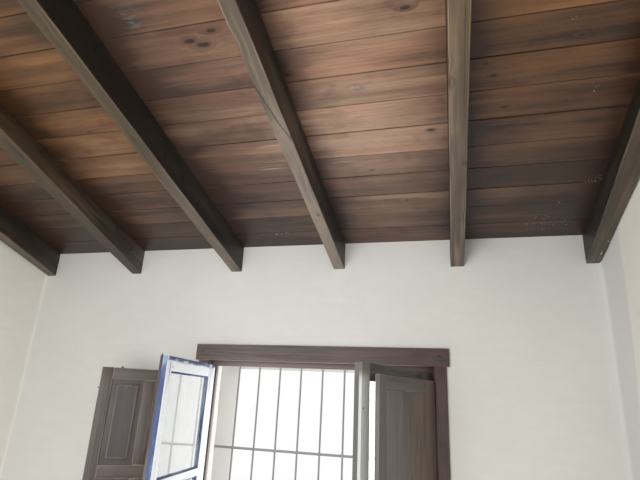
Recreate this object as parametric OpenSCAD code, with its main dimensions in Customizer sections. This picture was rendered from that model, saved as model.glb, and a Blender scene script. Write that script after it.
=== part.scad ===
// Room end of an adobe house: the whitewashed window wall with its barred window, casements and
// shutters, a return of each side wall, and the beamed and boarded roof that the walls carry.
// The room is open on its -Y side, where the walls and the roof are cut plumb.
// X runs along the window wall, Y goes out through the window, Z is up from the ground.

/* [Room] */
// Clear width between the two side walls
room_w = 3462; // [3200:2:3800]
// Clear depth from the window wall to the open edge
room_d = 2200; // [1800:10:3000]
// Height of the ceiling boards' underside where they meet the window wall
ceiling_h = 2492; // [2400:2:2800]
// Thickness of the adobe walls
wall_t = 400; // [300:10:600]

/* [Roof] */
// Pitch of the roof in degrees, falling outwards over the window wall
roof_pitch = 13.13; // [8:0.01:20]
// Depth of a beam, square to the slope
beam_depth = 152; // [120:1:180]
// Reach of the beams' tails past the wall's outer face
eaves = 280; // [150:10:400]
// Spacing of the ceiling boards up the slope
board_pitch = 151; // [120:1:200]
// Thickness of the ceiling boards
board_t = 22; // [18:1:30]
// Width of the bevel that makes the V joint between two boards
board_bevel = 5; // [2:0.5:8]
// Thickness of the earth and lime bed under the tiles
bed_t = 40; // [25:1:70]
// Number of channel tile rows across the roof
tile_rows = 20; // [18:1:22]
// Outer radius of a clay barrel tile
tile_r = 88; // [80:1:95]
// Thickness of the tiles
tile_t = 12; // [10:0.5:16]

/* [Window] */
// Middle of the window, measured from the middle of the room
window_x = 234; // [-200:1:300]
// Clear width between the window frame's jambs
clear_w = 1295; // [1284:1:1320]
// Height of the window frame's inner sill above the floor
sill_z = 636; // [500:2:800]
// Height of the head board's underside above the floor
head_z = 1797; // [1700:1:2000]
// Width of the jambs' and sill rail's faces
jamb_w = 62; // [50:1:80]
// Height of the head board's face
head_h = 92; // [80:1:120]
// Depth of the window frame into the wall
frame_d = 70; // [60:1:100]
// How far the frame stands proud of the plaster
frame_proud = 18; // [10:1:30]

/* [Casements and shutters] */
// Width of one casement leaf
leaf_w = 618; // [600:1:625]
// Thickness of a casement leaf
leaf_t = 40; // [36:1:44]
// How far the left casement is swung open, in degrees
left_leaf_open = 84; // [70:1:95]
// How far the right casement is swung open, in degrees
right_leaf_open = 64; // [55:1:75]
// Angle of the left shutter from its casement, in degrees
left_shutter_open = 62; // [60:1:66]
// Angle of the right shutter from its casement, in degrees
right_shutter_open = 3; // [2:1:20]
// Width of one shutter
shutter_w = 538; // [530:1:545]
// Thickness of a shutter's frame
shutter_t = 22; // [20:1:24]

/* [Grille] */
// Diameter of the round window bars
bar_d = 11; // [8:0.5:16]
// Number of upright window bars
bar_count = 9; // [5:1:9]
// Spacing of the upright bars
bar_pitch = 130.6; // [100:0.1:140]

/* [Hidden] */
$fn = 48;

slope = tan(roof_pitch);
half_w = room_w / 2;
outer_w = half_w + wall_t;
eaves_y = wall_t + eaves;
far = 6000;
// How far a cutting shape reaches past what it cuts
cut = 1;

// Plumb height of the boards' underside, and of the beams' underside, at a place y
function board_z(y) = ceiling_h - y * slope;
function beam_z(y) = board_z(y) - beam_depth / cos(roof_pitch);

// Tiles reach past the bed by a lip at the eaves and at the two verges
tile_lip = 50;
verge_lip = 40;
tile_span = 2 * (outer_w + verge_lip - tile_r);
tile_pitch = tile_span / tile_rows;

// Top of the bed above the boards' underside, and how high the cover tiles' centre line stands
bed_top = board_t + bed_t;
cover_lift = 60;

// The frame's origin is the middle of the whole part's footprint
front_y = -room_d;
back_y = eaves_y + tile_lip;
shift_y = -(front_y + back_y) / 2;

// Each beam, in a room of the width that they were measured in: the left and right side where it
// leaves the wall, the same at the open edge on its top and on its underside, and how much
// shallower it is there. The beams are hewn, so no two are alike and some are in wind.
MEASURED_HALF_W = 1731;
BEAMS = [
    [[-1731, -1661], [-1572, -1476], [-1568, -1420], 15],
    [[-1050, -980], [-985, -901], [-940, -820], 50],
    [[-337, -266], [-302, -238], [-300, -237], 0],
    [[320, 386], [332, 390], [332, 390], 0],
    [[985, 1057], [998, 1066], [1000, 1068], 0],
    [[1661, 1731], [1627, 1722], [1576, 1705], 40]
];
beam_wood = [0.20, 0.17, 0.15];

// Side s (0 left, 1 right) of beam i: where it leaves the wall, at the open edge on its top (e 1)
// or underside (e 2), and at a place y in the wall or past it, where it runs on straight
function beam_end(i, e, s) = BEAMS[i][e][s] * half_w / MEASURED_HALF_W;
function beam_x(i, s, y) = beam_end(i, 0, s) + (beam_end(i, 0, s) - beam_end(i, 1, s)) * y / room_d;

// Puts a piece measured from the window wall's inner face into the part's own frame
module placed() {
    translate([0, shift_y, 0]) children();
}

// A slab that follows the roof, from one height to another above the boards' underside, square
// to the slope, cut plumb at the open edge and at y_end
module roof_slab(n_low, n_high, x_low, x_high, y_end) {
    c = cos(roof_pitch);
    translate([x_low, 0, 0])
        rotate([90, 0, 90])
            linear_extrude(x_high - x_low)
                polygon([
                    [front_y, board_z(front_y) + n_low / c],
                    [y_end, board_z(y_end) + n_low / c],
                    [y_end, board_z(y_end) + n_high / c],
                    [front_y, board_z(front_y) + n_high / c]
                ]);
}

// A wall seen from its end: plumb faces from y_in to y_out, under the slope
module raked_wall(y_in, y_out, x_low, x_high, z_in, z_out) {
    translate([x_low, 0, 0])
        rotate([90, 0, 90])
            linear_extrude(x_high - x_low)
                polygon([[y_in, 0], [y_out, 0], [y_out, z_out], [y_in, z_in]]);
}

// Everything plumb between the left side xa and the right side xb, given at two places y
module plan_prism(y_low, y_high, xa_low, xb_low, xa_high, xb_high) {
    linear_extrude(far)
        polygon([[xa_low, y_low], [xb_low, y_low], [xb_high, y_high], [xa_high, y_high]]);
}

// Walls

clear_l = window_x - clear_w / 2;
clear_r = window_x + clear_w / 2;
frame_l = clear_l - jamb_w;
frame_r = clear_r + jamb_w;
head_horn_l = 22;
head_horn_r = 15;
stop_w = 29;
stop_d = 24;
head_stop_h = 28;
// The plaster of the reveal covers the stops but for a narrow strip
reveal_side_set = 23;
reveal_sill_set = 16;
reveal_head_set = 22;
reveal_l = clear_l + reveal_side_set;
reveal_r = clear_r - reveal_side_set;
reveal_sill = sill_z - reveal_sill_set;
reveal_head = head_z - reveal_head_set;
sill_fall = 20;

module window_opening() {
    // The pocket that the wooden frame stands in
    translate([frame_l, -cut, sill_z - jamb_w])
        cube([frame_r - frame_l, frame_d + cut, head_z + head_h - sill_z + jamb_w]);
    translate([frame_l - head_horn_l, -cut, head_z])
        cube([frame_r - frame_l + head_horn_l + head_horn_r, frame_d + cut, head_h]);
    // The plastered reveal behind it, with a sill that falls outwards
    translate([reveal_l, 0, 0])
        rotate([90, 0, 90])
            linear_extrude(reveal_r - reveal_l)
                polygon([
                    [frame_d - cut, reveal_sill], [wall_t / 2, reveal_sill],
                    [wall_t + cut, reveal_sill - sill_fall], [wall_t + cut, reveal_head],
                    [frame_d - cut, reveal_head]
                ]);
}

module window_wall() {
    color([0.93, 0.92, 0.89])
        placed()
            difference() {
                raked_wall(0, wall_t, -outer_w, outer_w, beam_z(0), beam_z(wall_t));
                window_opening();
            }
}

module side_wall(side) {
    x_low = side < 0 ? -outer_w : half_w;
    color([0.93, 0.92, 0.89])
        placed()
            raked_wall(front_y, 0, x_low, x_low + wall_t, board_z(front_y), board_z(0));
}

// Masonry that fills the wall's head between the beams, up to the boards
module beam_filling() {
    count = len(BEAMS);
    color([0.93, 0.92, 0.89])
        placed()
            for (i = [0:count]) {
                xa_in = i == 0 ? -outer_w : beam_x(i - 1, 1, 0);
                xb_in = i == count ? outer_w : beam_x(i, 0, 0);
                xa_out = i == 0 ? -outer_w : beam_x(i - 1, 1, wall_t);
                xb_out = i == count ? outer_w : beam_x(i, 0, wall_t);
                intersection() {
                    plan_prism(0, wall_t, xa_in, xb_in, xa_out, xb_out);
                    roof_slab(-beam_depth, 0, -outer_w, outer_w, wall_t);
                }
            }
}

// Roof

// Corners of a plumb section of a beam, clockwise as seen from the open side
function beam_ring(y, top, low, z_low) = [
    [low[0], y, z_low], [top[0], y, board_z(y)], [top[1], y, board_z(y)], [low[1], y, z_low]
];
function beam_sides(i, y) = [beam_x(i, 0, y), beam_x(i, 1, y)];
function beam_open_end(i, e) = [beam_end(i, e, 0), beam_end(i, e, 1)];

// A beam over the room, from its section at the open edge to the one at the wall, and then
// straight on through the wall's head to its tail under the eaves
module beam(i) {
    color(beam_wood)
        placed()
            loft([
                beam_ring(front_y, beam_open_end(i, 1), beam_open_end(i, 2),
                          beam_z(front_y) + BEAMS[i][3]),
                beam_ring(0, beam_sides(i, 0), beam_sides(i, 0), beam_z(0)),
                beam_ring(eaves_y, beam_sides(i, eaves_y), beam_sides(i, eaves_y), beam_z(eaves_y))
            ]);
}

// A solid with straight edges from ring to ring, each ring given with the same number of corners
module loft(rings) {
    n = len(rings[0]);
    last = (len(rings) - 1) * n;
    polyhedron(
        points = [for (ring = rings) each ring],
        faces = concat(
            [[for (k = [0:n - 1]) k]],
            [[for (k = [n - 1:-1:0]) last + k]],
            [for (r = [0:len(rings) - 2], k = [0:n - 1])
                let (a = r * n + k, b = r * n + (k + 1) % n)
                each [[a, a + n, b + n], [a, b + n, b]]]
        )
    );
}

// Boards laid across the beams, each with two bevelled lower edges and a hairline gap between
board_gap = 1.2;
module ceiling_boards() {
    c = cos(roof_pitch);
    low = floor(front_y / c / board_pitch);
    high = ceil(eaves_y / c / board_pitch);
    color([0.42, 0.24, 0.15])
        placed()
            intersection() {
                translate([0, 0, ceiling_h])
                    rotate([-roof_pitch, 0, 0])
                        for (k = [low:high - 1])
                            translate([-outer_w, k * board_pitch + board_gap / 2, 0])
                                rotate([90, 0, 90])
                                    linear_extrude(2 * outer_w)
                                        board_section();
                roof_slab(-cut, board_t + cut, -outer_w, outer_w, eaves_y);
            }
}

module board_section() {
    w = board_pitch - board_gap;
    polygon([
        [0, board_bevel], [board_bevel, 0], [w - board_bevel, 0], [w, board_bevel],
        [w, board_t], [0, board_t]
    ]);
}

module tile_bed() {
    color([0.62, 0.54, 0.44])
        placed() roof_slab(board_t, board_t + bed_t, -outer_w, outer_w, eaves_y);
}

// One row of barrel tiles up the slope, its hollow side down or up, cut plumb at both ends
module tile_row(x, n, hollow_down) {
    // A row is drawn longer than the roof at both ends, and the plumb cuts take the rest
    extra = tile_r + cover_lift;
    slope_len = (back_y - front_y) / cos(roof_pitch) + 2 * extra;
    intersection() {
        translate([x, 0, ceiling_h])
            rotate([-roof_pitch, 0, 0])
                translate([0, front_y / cos(roof_pitch) - extra, n])
                    rotate([-90, 0, 0])
                        difference() {
                            cylinder(h = slope_len, r = tile_r);
                            translate([0, 0, -cut])
                                cylinder(h = slope_len + 2 * cut, r = tile_r - tile_t);
                            translate([-tile_r - cut, hollow_down ? 0 : -tile_r - cut, -cut])
                                cube([2 * (tile_r + cut), tile_r + cut, slope_len + 2 * cut]);
                        }
        translate([-far / 2, front_y, 0]) cube([far, back_y - front_y, far]);
    }
}

module channel_tiles() {
    color([0.66, 0.38, 0.25])
        placed()
            for (k = [0:tile_rows - 1])
                tile_row((k + 0.5) * tile_pitch - tile_span / 2, bed_top + tile_r, false);
}

module cover_tiles() {
    color([0.70, 0.42, 0.28])
        placed()
            for (k = [0:tile_rows])
                tile_row(k * tile_pitch - tile_span / 2, bed_top + cover_lift, true);
}

// Window frame

frame_wood = [0.24, 0.15, 0.11];

module head_board() {
    color(frame_wood)
        placed() {
            translate([frame_l - head_horn_l, -frame_proud, head_z])
                cube([frame_r - frame_l + head_horn_l + head_horn_r, frame_proud + frame_d, head_h]);
            translate([frame_l + jamb_w, frame_d - stop_d, head_z - head_stop_h])
                cube([clear_w, stop_d, head_stop_h]);
        }
}

// A jamb with the stop that the closed casement meets
module jamb(side) {
    x_low = side < 0 ? frame_l : frame_r - jamb_w;
    stop_x = side < 0 ? frame_l + jamb_w : frame_r - jamb_w - stop_w;
    color(frame_wood)
        placed() {
            translate([x_low, -frame_proud, sill_z])
                cube([jamb_w, frame_proud + frame_d, head_z - sill_z]);
            translate([stop_x, frame_d - stop_d, sill_z])
                cube([stop_w, stop_d, head_z - head_stop_h - sill_z]);
        }
}

module sill_rail() {
    color(frame_wood)
        placed()
            translate([frame_l, -frame_proud, sill_z - jamb_w])
                cube([frame_r - frame_l, frame_proud + frame_d, jamb_w]);
}

// Casements, each measured from its hinge: x along the leaf, y from its room face to its outer
// face, z up from the floor

leaf_bottom = sill_z + 8;
leaf_top = head_z - head_stop_h - 1;
leaf_h = leaf_top - leaf_bottom;
// Widths as seen from outside; the glazing rebate makes each wider on the room side
hinge_stile_w = 90;
meeting_stile_w = 53;
top_rail_h = 68;
bottom_rail_h = 76;
// The glazing bar sits low, so that the upper pane is a little taller than the lower one
glazing_bar_up = 548;
glazing_bar_low = leaf_bottom + glazing_bar_up;
glazing_bar_h = 36;
glass_t = 4;
glass_y = 23;
rebate = 8;
bead_d = 8;
blue = [0.36, 0.42, 0.60];

// Low and high edges of the two panes' rebates
PANE_Z = [
    [leaf_bottom + bottom_rail_h, glazing_bar_low],
    [glazing_bar_low + glazing_bar_h, leaf_top - top_rail_h]
];

// The hinge corner of each casement's room face
left_gap = 2;
right_gap = 13;
left_pivot = [clear_l + left_gap, -4];
right_pivot = [clear_r - right_gap, 0];

module left_leaf_place() {
    placed() translate([left_pivot[0], left_pivot[1], 0]) rotate(-left_leaf_open) children();
}

module right_leaf_place() {
    placed()
        translate([right_pivot[0], right_pivot[1], 0])
            mirror([1, 0, 0]) rotate(-right_leaf_open) children();
}

// A block over a pane's rebate, set in by a margin, from one depth in the leaf to another
module pane_block(z, margin, y_low, y_high) {
    translate([hinge_stile_w + margin, y_low, z[0] + margin])
        cube([leaf_w - hinge_stile_w - meeting_stile_w - 2 * margin, y_high - y_low,
              z[1] - z[0] - 2 * margin]);
}

// The clear opening on the room side, and the rebate that the glass is laid in from outside
module pane_openings() {
    for (z = PANE_Z) {
        pane_block(z, rebate, -cut, leaf_t + cut);
        pane_block(z, 0, glass_y, leaf_t + cut);
    }
}

module leaf_glass() {
    color([0.85, 0.92, 0.95, 0.4])
        for (z = PANE_Z) pane_block(z, 0, glass_y, glass_y + glass_t);
}

// The beads that hold each pane in its rebate
module leaf_beads() {
    color(blue)
        for (z = PANE_Z)
            difference() {
                pane_block(z, 0, glass_y + glass_t, glass_y + glass_t + bead_d);
                pane_block(z, rebate, glass_y, leaf_t);
            }
}

stile_edge_hinge = hinge_stile_w + rebate;
stile_edge_meeting = leaf_w - meeting_stile_w - rebate;

module leaf_stiles() {
    color(blue)
        difference() {
            for (x = [[0, stile_edge_hinge], [stile_edge_meeting, leaf_w]])
                translate([x[0], 0, leaf_bottom]) cube([x[1] - x[0], leaf_t, leaf_h]);
            pane_openings();
        }
}

module leaf_rails() {
    color(blue)
        difference() {
            translate([stile_edge_hinge, 0, leaf_bottom])
                cube([stile_edge_meeting - stile_edge_hinge, leaf_t, leaf_h]);
            pane_openings();
        }
}

// Hinges: a knuckle with a plate on the casement's room face and one on the jamb. The left one
// stands in front of the jamb's face, the right one in the gap beside the jamb.
hinge_h = 70;
plate_t = 2;
leaf_knuckle_r = 5;
leaf_hinge_up = 96;
leaf_hinge_down = 150;
HINGE_Z = [leaf_bottom + leaf_hinge_up, leaf_top - leaf_hinge_down];
left_knuckle = [clear_l - 1, -frame_proud - leaf_knuckle_r];
right_knuckle = [clear_r - plate_t - leaf_knuckle_r, -6];
jamb_plate_w = 41;
// The plate on the leaf starts past the knuckle
leaf_plate_low = 12;
leaf_plate_high = 36;
iron = [0.16, 0.13, 0.12];

module plate(x_low, x_high, y_low, y_high) {
    for (z = HINGE_Z)
        translate([x_low, y_low, z]) cube([x_high - x_low, y_high - y_low, hinge_h]);
}

module knuckles(at, r, levels) {
    for (z = levels) translate([at[0], at[1], z]) cylinder(h = hinge_h, r = r);
}

module left_leaf_hinges() {
    color(iron) {
        placed() {
            knuckles(left_knuckle, leaf_knuckle_r, HINGE_Z);
            plate(left_knuckle[0] - jamb_plate_w, left_knuckle[0], -frame_proud - plate_t, -frame_proud);
        }
        left_leaf_place() plate(leaf_plate_low, leaf_plate_high, -plate_t, 0);
    }
}

module right_leaf_hinges() {
    color(iron) {
        placed() {
            knuckles(right_knuckle, leaf_knuckle_r, HINGE_Z);
            plate(clear_r - plate_t, clear_r, right_knuckle[1], frame_d - stop_d);
        }
        right_leaf_place() plate(0, leaf_plate_low + plate_t, -plate_t - leaf_knuckle_r, 0);
    }
}

// Shutters, each measured from the hinge corner of its own room face in the same way

shutter_foot_set = 43;
shutter_head_set = 48;
shutter_bottom = leaf_bottom + shutter_foot_set;
shutter_top = leaf_top - shutter_head_set;
shutter_h = shutter_top - shutter_bottom;
shutter_stile_w = 95;
shutter_free_w = 60;
shutter_rail_h = 60;
lock_rail_up = 485;
lock_rail_low = shutter_bottom + lock_rail_up;
lock_rail_h = 64;
muntin_x = 252;
muntin_w = 62;
panel_edge_t = 8;
panel_t = 16;
panel_bevel = 33;
panel_gap = 1.5;
shutter_wood = [0.22, 0.16, 0.13];

left_shutter_pivot = [44.5, -11];
right_shutter_pivot = [34, -30];

module left_shutter_place() {
    left_leaf_place()
        translate([left_shutter_pivot[0], left_shutter_pivot[1], 0])
            rotate(-left_shutter_open) children();
}

module right_shutter_place() {
    right_leaf_place()
        translate([right_shutter_pivot[0], right_shutter_pivot[1], 0])
            rotate(-right_shutter_open) children();
}

// Low and high edges of the shutter's panels, along it and up it
PANEL_X = [
    [shutter_stile_w, muntin_x],
    [muntin_x + muntin_w, shutter_w - shutter_free_w]
];
PANEL_Z = [
    [shutter_bottom + shutter_rail_h, lock_rail_low],
    [lock_rail_low + lock_rail_h, shutter_top - shutter_rail_h]
];

module shutter_stiles() {
    color(shutter_wood)
        for (stile = [[0, shutter_stile_w], [shutter_w - shutter_free_w, shutter_free_w]])
            translate([stile[0], 0, shutter_bottom]) cube([stile[1], shutter_t, shutter_h]);
}

module shutter_rails() {
    color(shutter_wood)
        for (rail = [[shutter_bottom, shutter_rail_h], [lock_rail_low, lock_rail_h],
                     [shutter_top - shutter_rail_h, shutter_rail_h]])
            translate([shutter_stile_w, 0, rail[0]])
                cube([shutter_w - shutter_stile_w - shutter_free_w, shutter_t, rail[1]]);
}

module shutter_muntins() {
    color(shutter_wood)
        for (z = PANEL_Z)
            translate([muntin_x, 0, z[0]]) cube([muntin_w, shutter_t, z[1] - z[0]]);
}

// A raised and fielded panel: flat on the room side, bevelled up to its field on the other
module raised_panel(w, h) {
    intersection() {
        linear_extrude(h)
            polygon([[0, 0], [w, 0], [w, panel_edge_t], [w - panel_bevel, panel_t],
                     [panel_bevel, panel_t], [0, panel_edge_t]]);
        rotate([90, 0, 90])
            linear_extrude(w)
                polygon([[0, 0], [panel_edge_t, 0], [panel_t, panel_bevel],
                         [panel_t, h - panel_bevel], [panel_edge_t, h], [0, h]]);
    }
}

module shutter_panels() {
    color(shutter_wood)
        for (x = PANEL_X, z = PANEL_Z)
            translate([x[0] + panel_gap, 0, z[0] + panel_gap])
                raised_panel(x[1] - x[0] - 2 * panel_gap, z[1] - z[0] - 2 * panel_gap);
}

// Shutter hinges: a knuckle in the angle between the casement's face and the shutter's edge, and
// the plate that carries it on the casement
shutter_hinge_up = 110;
shutter_hinge_down = 180;
SHUTTER_HINGE_Z = [shutter_bottom + shutter_hinge_up, shutter_top - shutter_hinge_down];
left_shutter_knuckle = [left_shutter_pivot[0] + 2.5, -4.5];
left_shutter_knuckle_r = 4;
left_bracket_w = 24;
right_shutter_knuckle = [right_shutter_pivot[0] - 5, -14];
right_shutter_knuckle_r = 5;
bracket_t = 8;

module shutter_bracket(x_low, x_high, y_low) {
    for (z = SHUTTER_HINGE_Z) translate([x_low, y_low, z]) cube([x_high - x_low, -y_low, hinge_h]);
}

module left_shutter_hinges() {
    color(iron) {
        knuckles(left_shutter_knuckle, left_shutter_knuckle_r, SHUTTER_HINGE_Z);
        shutter_bracket(left_shutter_knuckle[0] - left_bracket_w, left_shutter_knuckle[0], -plate_t);
    }
}

module right_shutter_hinges() {
    color(iron) {
        knuckles(right_shutter_knuckle, right_shutter_knuckle_r, SHUTTER_HINGE_Z);
        shutter_bracket(right_shutter_knuckle[0] - bracket_t / 2,
                        right_shutter_knuckle[0] + bracket_t / 2, right_shutter_knuckle[1]);
    }
}

// Grille in the reveal

// Depth of the grille in the wall, and where its first upright stands
bar_y = 150;
first_bar_set = 110;
cross_t = 16;
cross_h = 15;
// Heights of the two cross bars above the window's sill
CROSS_UP = [214, 682];

module uprights() {
    for (k = [0:bar_count - 1])
        translate([reveal_l + first_bar_set + k * bar_pitch, bar_y, reveal_sill])
            cylinder(h = reveal_head - reveal_sill, d = bar_d);
}

module window_bars() {
    color([0.10, 0.10, 0.10]) placed() uprights();
}

// Flat cross bars, punched for the uprights that are threaded through them
module cross_bars() {
    color([0.10, 0.10, 0.10])
        placed()
            difference() {
                for (z = CROSS_UP)
                    translate([reveal_l, bar_y - cross_t / 2, sill_z + z - cross_h / 2])
                        cube([reveal_r - reveal_l, cross_t, cross_h]);
                uprights();
            }
}

// The bolt at the top of the left casement's meeting stile: its case and the shoot in it
bolt_w = 20;
bolt_t = 9;
bolt_case_h = 90;
bolt_case_down = 150;
shoot_d = 8;
shoot_h = 160;
module leaf_bolt() {
    color(iron)
        left_leaf_place()
            translate([leaf_w - meeting_stile_w / 2 - bolt_w / 2, -bolt_t, leaf_top - bolt_case_down]) {
                cube([bolt_w, bolt_t, bolt_case_h]);
                translate([bolt_w / 2, bolt_t / 2, 0]) cylinder(h = shoot_h, d = shoot_d);
            }
}

window_wall();
side_wall(-1);  // left_wall
side_wall(1);  // right_wall
beam_filling();
beam(0);  // beam_1
beam(1);  // beam_2
beam(2);  // beam_3
beam(3);  // beam_4
beam(4);  // beam_5
beam(5);  // beam_6
ceiling_boards();
tile_bed();
channel_tiles();
cover_tiles();
head_board();
jamb(-1);  // left_jamb
jamb(1);  // right_jamb
sill_rail();
left_leaf_place() leaf_stiles();  // left_leaf_stiles
left_leaf_place() leaf_rails();  // left_leaf_rails
left_leaf_place() leaf_glass();  // left_leaf_glass
left_leaf_place() leaf_beads();  // left_leaf_beads
left_leaf_hinges();
right_leaf_place() leaf_stiles();  // right_leaf_stiles
right_leaf_place() leaf_rails();  // right_leaf_rails
right_leaf_place() leaf_glass();  // right_leaf_glass
right_leaf_place() leaf_beads();  // right_leaf_beads
right_leaf_hinges();
left_shutter_place() shutter_stiles();  // left_shutter_stiles
left_shutter_place() shutter_rails();  // left_shutter_rails
left_shutter_place() shutter_muntins();  // left_shutter_muntins
left_shutter_place() shutter_panels();  // left_shutter_panels
left_leaf_place() left_shutter_hinges();
right_shutter_place() shutter_stiles();  // right_shutter_stiles
right_shutter_place() shutter_rails();  // right_shutter_rails
right_shutter_place() shutter_muntins();  // right_shutter_muntins
right_shutter_place() shutter_panels();  // right_shutter_panels
right_leaf_place() right_shutter_hinges();
window_bars();
cross_bars();
leaf_bolt();
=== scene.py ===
# %% [markdown]
# # The end of an adobe room, under its beamed roof
# The model is one end of a whitewashed room: the window wall with its grille, casements and
# shutters, a return of each side wall, and the beams, boards and clay tiles that they carry.
# It is open on the -Y side, where the rest of the room would go on.
# The sizes are already settled in a measured frame, so this lesson is about surfaces: each piece
# is rebuilt as a mesh with the worn edges, joints and waviness of handmade work.

# %% Open the measured frame
import math
import random

import bmesh
import bpy
import numpy as np
from mathutils import Matrix, Vector, noise


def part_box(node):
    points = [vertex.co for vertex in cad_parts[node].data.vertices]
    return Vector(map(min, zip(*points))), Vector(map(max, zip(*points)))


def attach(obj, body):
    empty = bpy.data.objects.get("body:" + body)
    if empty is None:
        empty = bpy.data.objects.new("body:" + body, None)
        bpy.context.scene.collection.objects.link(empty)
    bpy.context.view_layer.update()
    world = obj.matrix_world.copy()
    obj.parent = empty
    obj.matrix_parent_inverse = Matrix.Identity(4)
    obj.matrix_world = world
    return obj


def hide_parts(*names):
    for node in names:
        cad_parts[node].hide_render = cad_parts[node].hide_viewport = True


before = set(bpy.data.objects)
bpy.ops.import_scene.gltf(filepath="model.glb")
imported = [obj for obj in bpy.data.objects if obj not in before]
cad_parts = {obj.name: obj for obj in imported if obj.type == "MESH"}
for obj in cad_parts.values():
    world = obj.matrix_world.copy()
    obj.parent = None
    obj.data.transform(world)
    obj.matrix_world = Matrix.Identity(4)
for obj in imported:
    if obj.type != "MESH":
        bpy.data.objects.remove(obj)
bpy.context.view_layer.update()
print("measured nodes:", len(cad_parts))

# %% [markdown]
# A builder sets out from lines, and so does this lesson. Every line is read off the frame, so
# that nothing has to be fitted afterwards: the wall's faces, the open edge, and the slope that
# the boards follow. The slope gets a helper of its own, because beams, boards, bed and tiles are
# all easier to place in steps along the slope than in plain Y and Z.

# %% Read the room's lines
def low(node):
    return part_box(node)[0]


def high(node):
    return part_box(node)[1]


INNER_Y = low("window_wall").y
OUTER_Y = high("window_wall").y
OPEN_Y = low("left_wall").y
HALF_ROOM = low("right_wall").x
HALF_OUT = high("right_wall").x
EAVES_Y = high("ceiling_boards").y
BOARDS_Z = high("beam_filling").z
RISE = (high("left_wall").z - BOARDS_Z) / (INNER_Y - OPEN_Y)
PITCH = math.atan(RISE)
DOWN_SLOPE = Vector((0, math.cos(PITCH), -math.sin(PITCH)))
OFF_SLOPE = Vector((0, math.sin(PITCH), math.cos(PITCH)))


def on_slope(x, along, above):
    """A point of the roof: along is down the slope from the wall's inner face, and above is
    square to the boards' underside."""
    return Vector((x, INNER_Y, BOARDS_Z)) + along * DOWN_SLOPE + above * OFF_SLOPE


def evenly(start, end, step):
    """Even places from start to end, at most one step apart."""
    count = max(1, math.ceil((end - start) / step - 1e-6))
    return [start + (end - start) * k / count for k in range(count + 1)]


def plumb_cut(y, above):
    """How far down the slope a plumb plane at y cuts a level that lies so much above."""
    return (y - INNER_Y - above * math.sin(PITCH)) / math.cos(PITCH)


print("room", round(2 * HALF_ROOM, 3), "m wide, roof pitch", round(math.degrees(PITCH), 2), "degrees")

# %% [markdown]
# The viewer stands at the open side and looks up at the window and the roof. A camera can be
# aimed with a Track To constraint, but here the tilt to the side matters too, so turns are
# multiplied: left about Z, up about X, and a small roll about the line of sight. A new camera
# looks straight down, so a quarter turn about X comes first and makes it look ahead.

# %% Place the camera
# The lens is given in pixels of a picture of this size, and the sensor in millimetres.
VIEW_LENS_PX = 481
PICTURE_W_PX, PICTURE_H_PX = 640, 480
SENSOR_W = 36
EYE_BACK = 2.66
EYE_RIGHT = 0.971
EYE_HEIGHT = 1.60
TURN_LEFT = math.radians(15.62)
LOOK_UP = math.radians(18.45)
ROLL = -0.0492
QUARTER_TURN = math.radians(90)


def put(name, data):
    """Makes an object of a mesh, a lamp or a camera and puts it in the scene."""
    made = bpy.data.objects.new(name, data)
    bpy.context.scene.collection.objects.link(made)
    return made


def place_camera():
    data = bpy.data.cameras.new("view")
    data.sensor_width = SENSOR_W
    data.lens = VIEW_LENS_PX / PICTURE_W_PX * SENSOR_W
    camera = put("view", data)
    aim = (Matrix.Rotation(TURN_LEFT, 3, "Z") @ Matrix.Rotation(LOOK_UP, 3, "X")
           @ Matrix.Rotation(ROLL, 3, "Y") @ Matrix.Rotation(QUARTER_TURN, 3, "X"))
    eye = Vector((EYE_RIGHT, INNER_Y - EYE_BACK, EYE_HEIGHT))
    camera.matrix_world = Matrix.Translation(eye) @ aim.to_4x4()
    bpy.context.scene.camera = camera
    return camera


camera = place_camera()
print("camera at", [round(v, 3) for v in camera.matrix_world.translation])

# %% [markdown]
# Some marks on the timbers catch the eye and belong in their own places. Measuring each one in
# the room would be slow, so most are noted as the pixel of the view where they show, counted
# from the picture's top left corner. The line of sight through that pixel is then followed to
# the plane of the boards or of the beam that the mark is on.

# %% Find what shows at a pixel
def seen_at(pixel, point, normal):
    """Where the line of sight through a pixel meets the plane through a point."""
    right, down = pixel[0] - PICTURE_W_PX / 2, pixel[1] - PICTURE_H_PX / 2
    eye = camera.matrix_world.translation
    sight = camera.matrix_world.to_3x3() @ Vector((right, -down, -VIEW_LENS_PX))
    return eye + sight * ((point - eye).dot(normal) / sight.dot(normal))


def on_boards(pixel):
    """Where the boards' underside shows at a pixel."""
    return seen_at(pixel, on_slope(0, 0, 0), OFF_SLOPE)


looked_at = on_boards((PICTURE_W_PX / 2, 0))
print("the middle of the picture's top shows the boards at", [round(c, 3) for c in looked_at])

# %% [markdown]
# Almost every piece here is long and of one section: a beam, a board, a rail, a bar, a tile.
# A curve could be extruded for each, but a skin drawn over a row of rings gives control of every
# ring, so that edges can wander as hewn timber does.
# The bench gathers many such timbers into one mesh. It also notes four things for each point,
# which the finishes read later: its place in the grain, its tone, which on some pieces also carries
# painted light and shade, how worn it is, which on the shutters' panels also marks a painted
# highlight, and how deep it lies behind the face.

# %% The bench that timbers are made on
# Grain this close to upright has no level side of its own, so X stands in for it.
UPRIGHT_GRAIN = 0.1
CREASE = math.radians(38)


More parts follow.
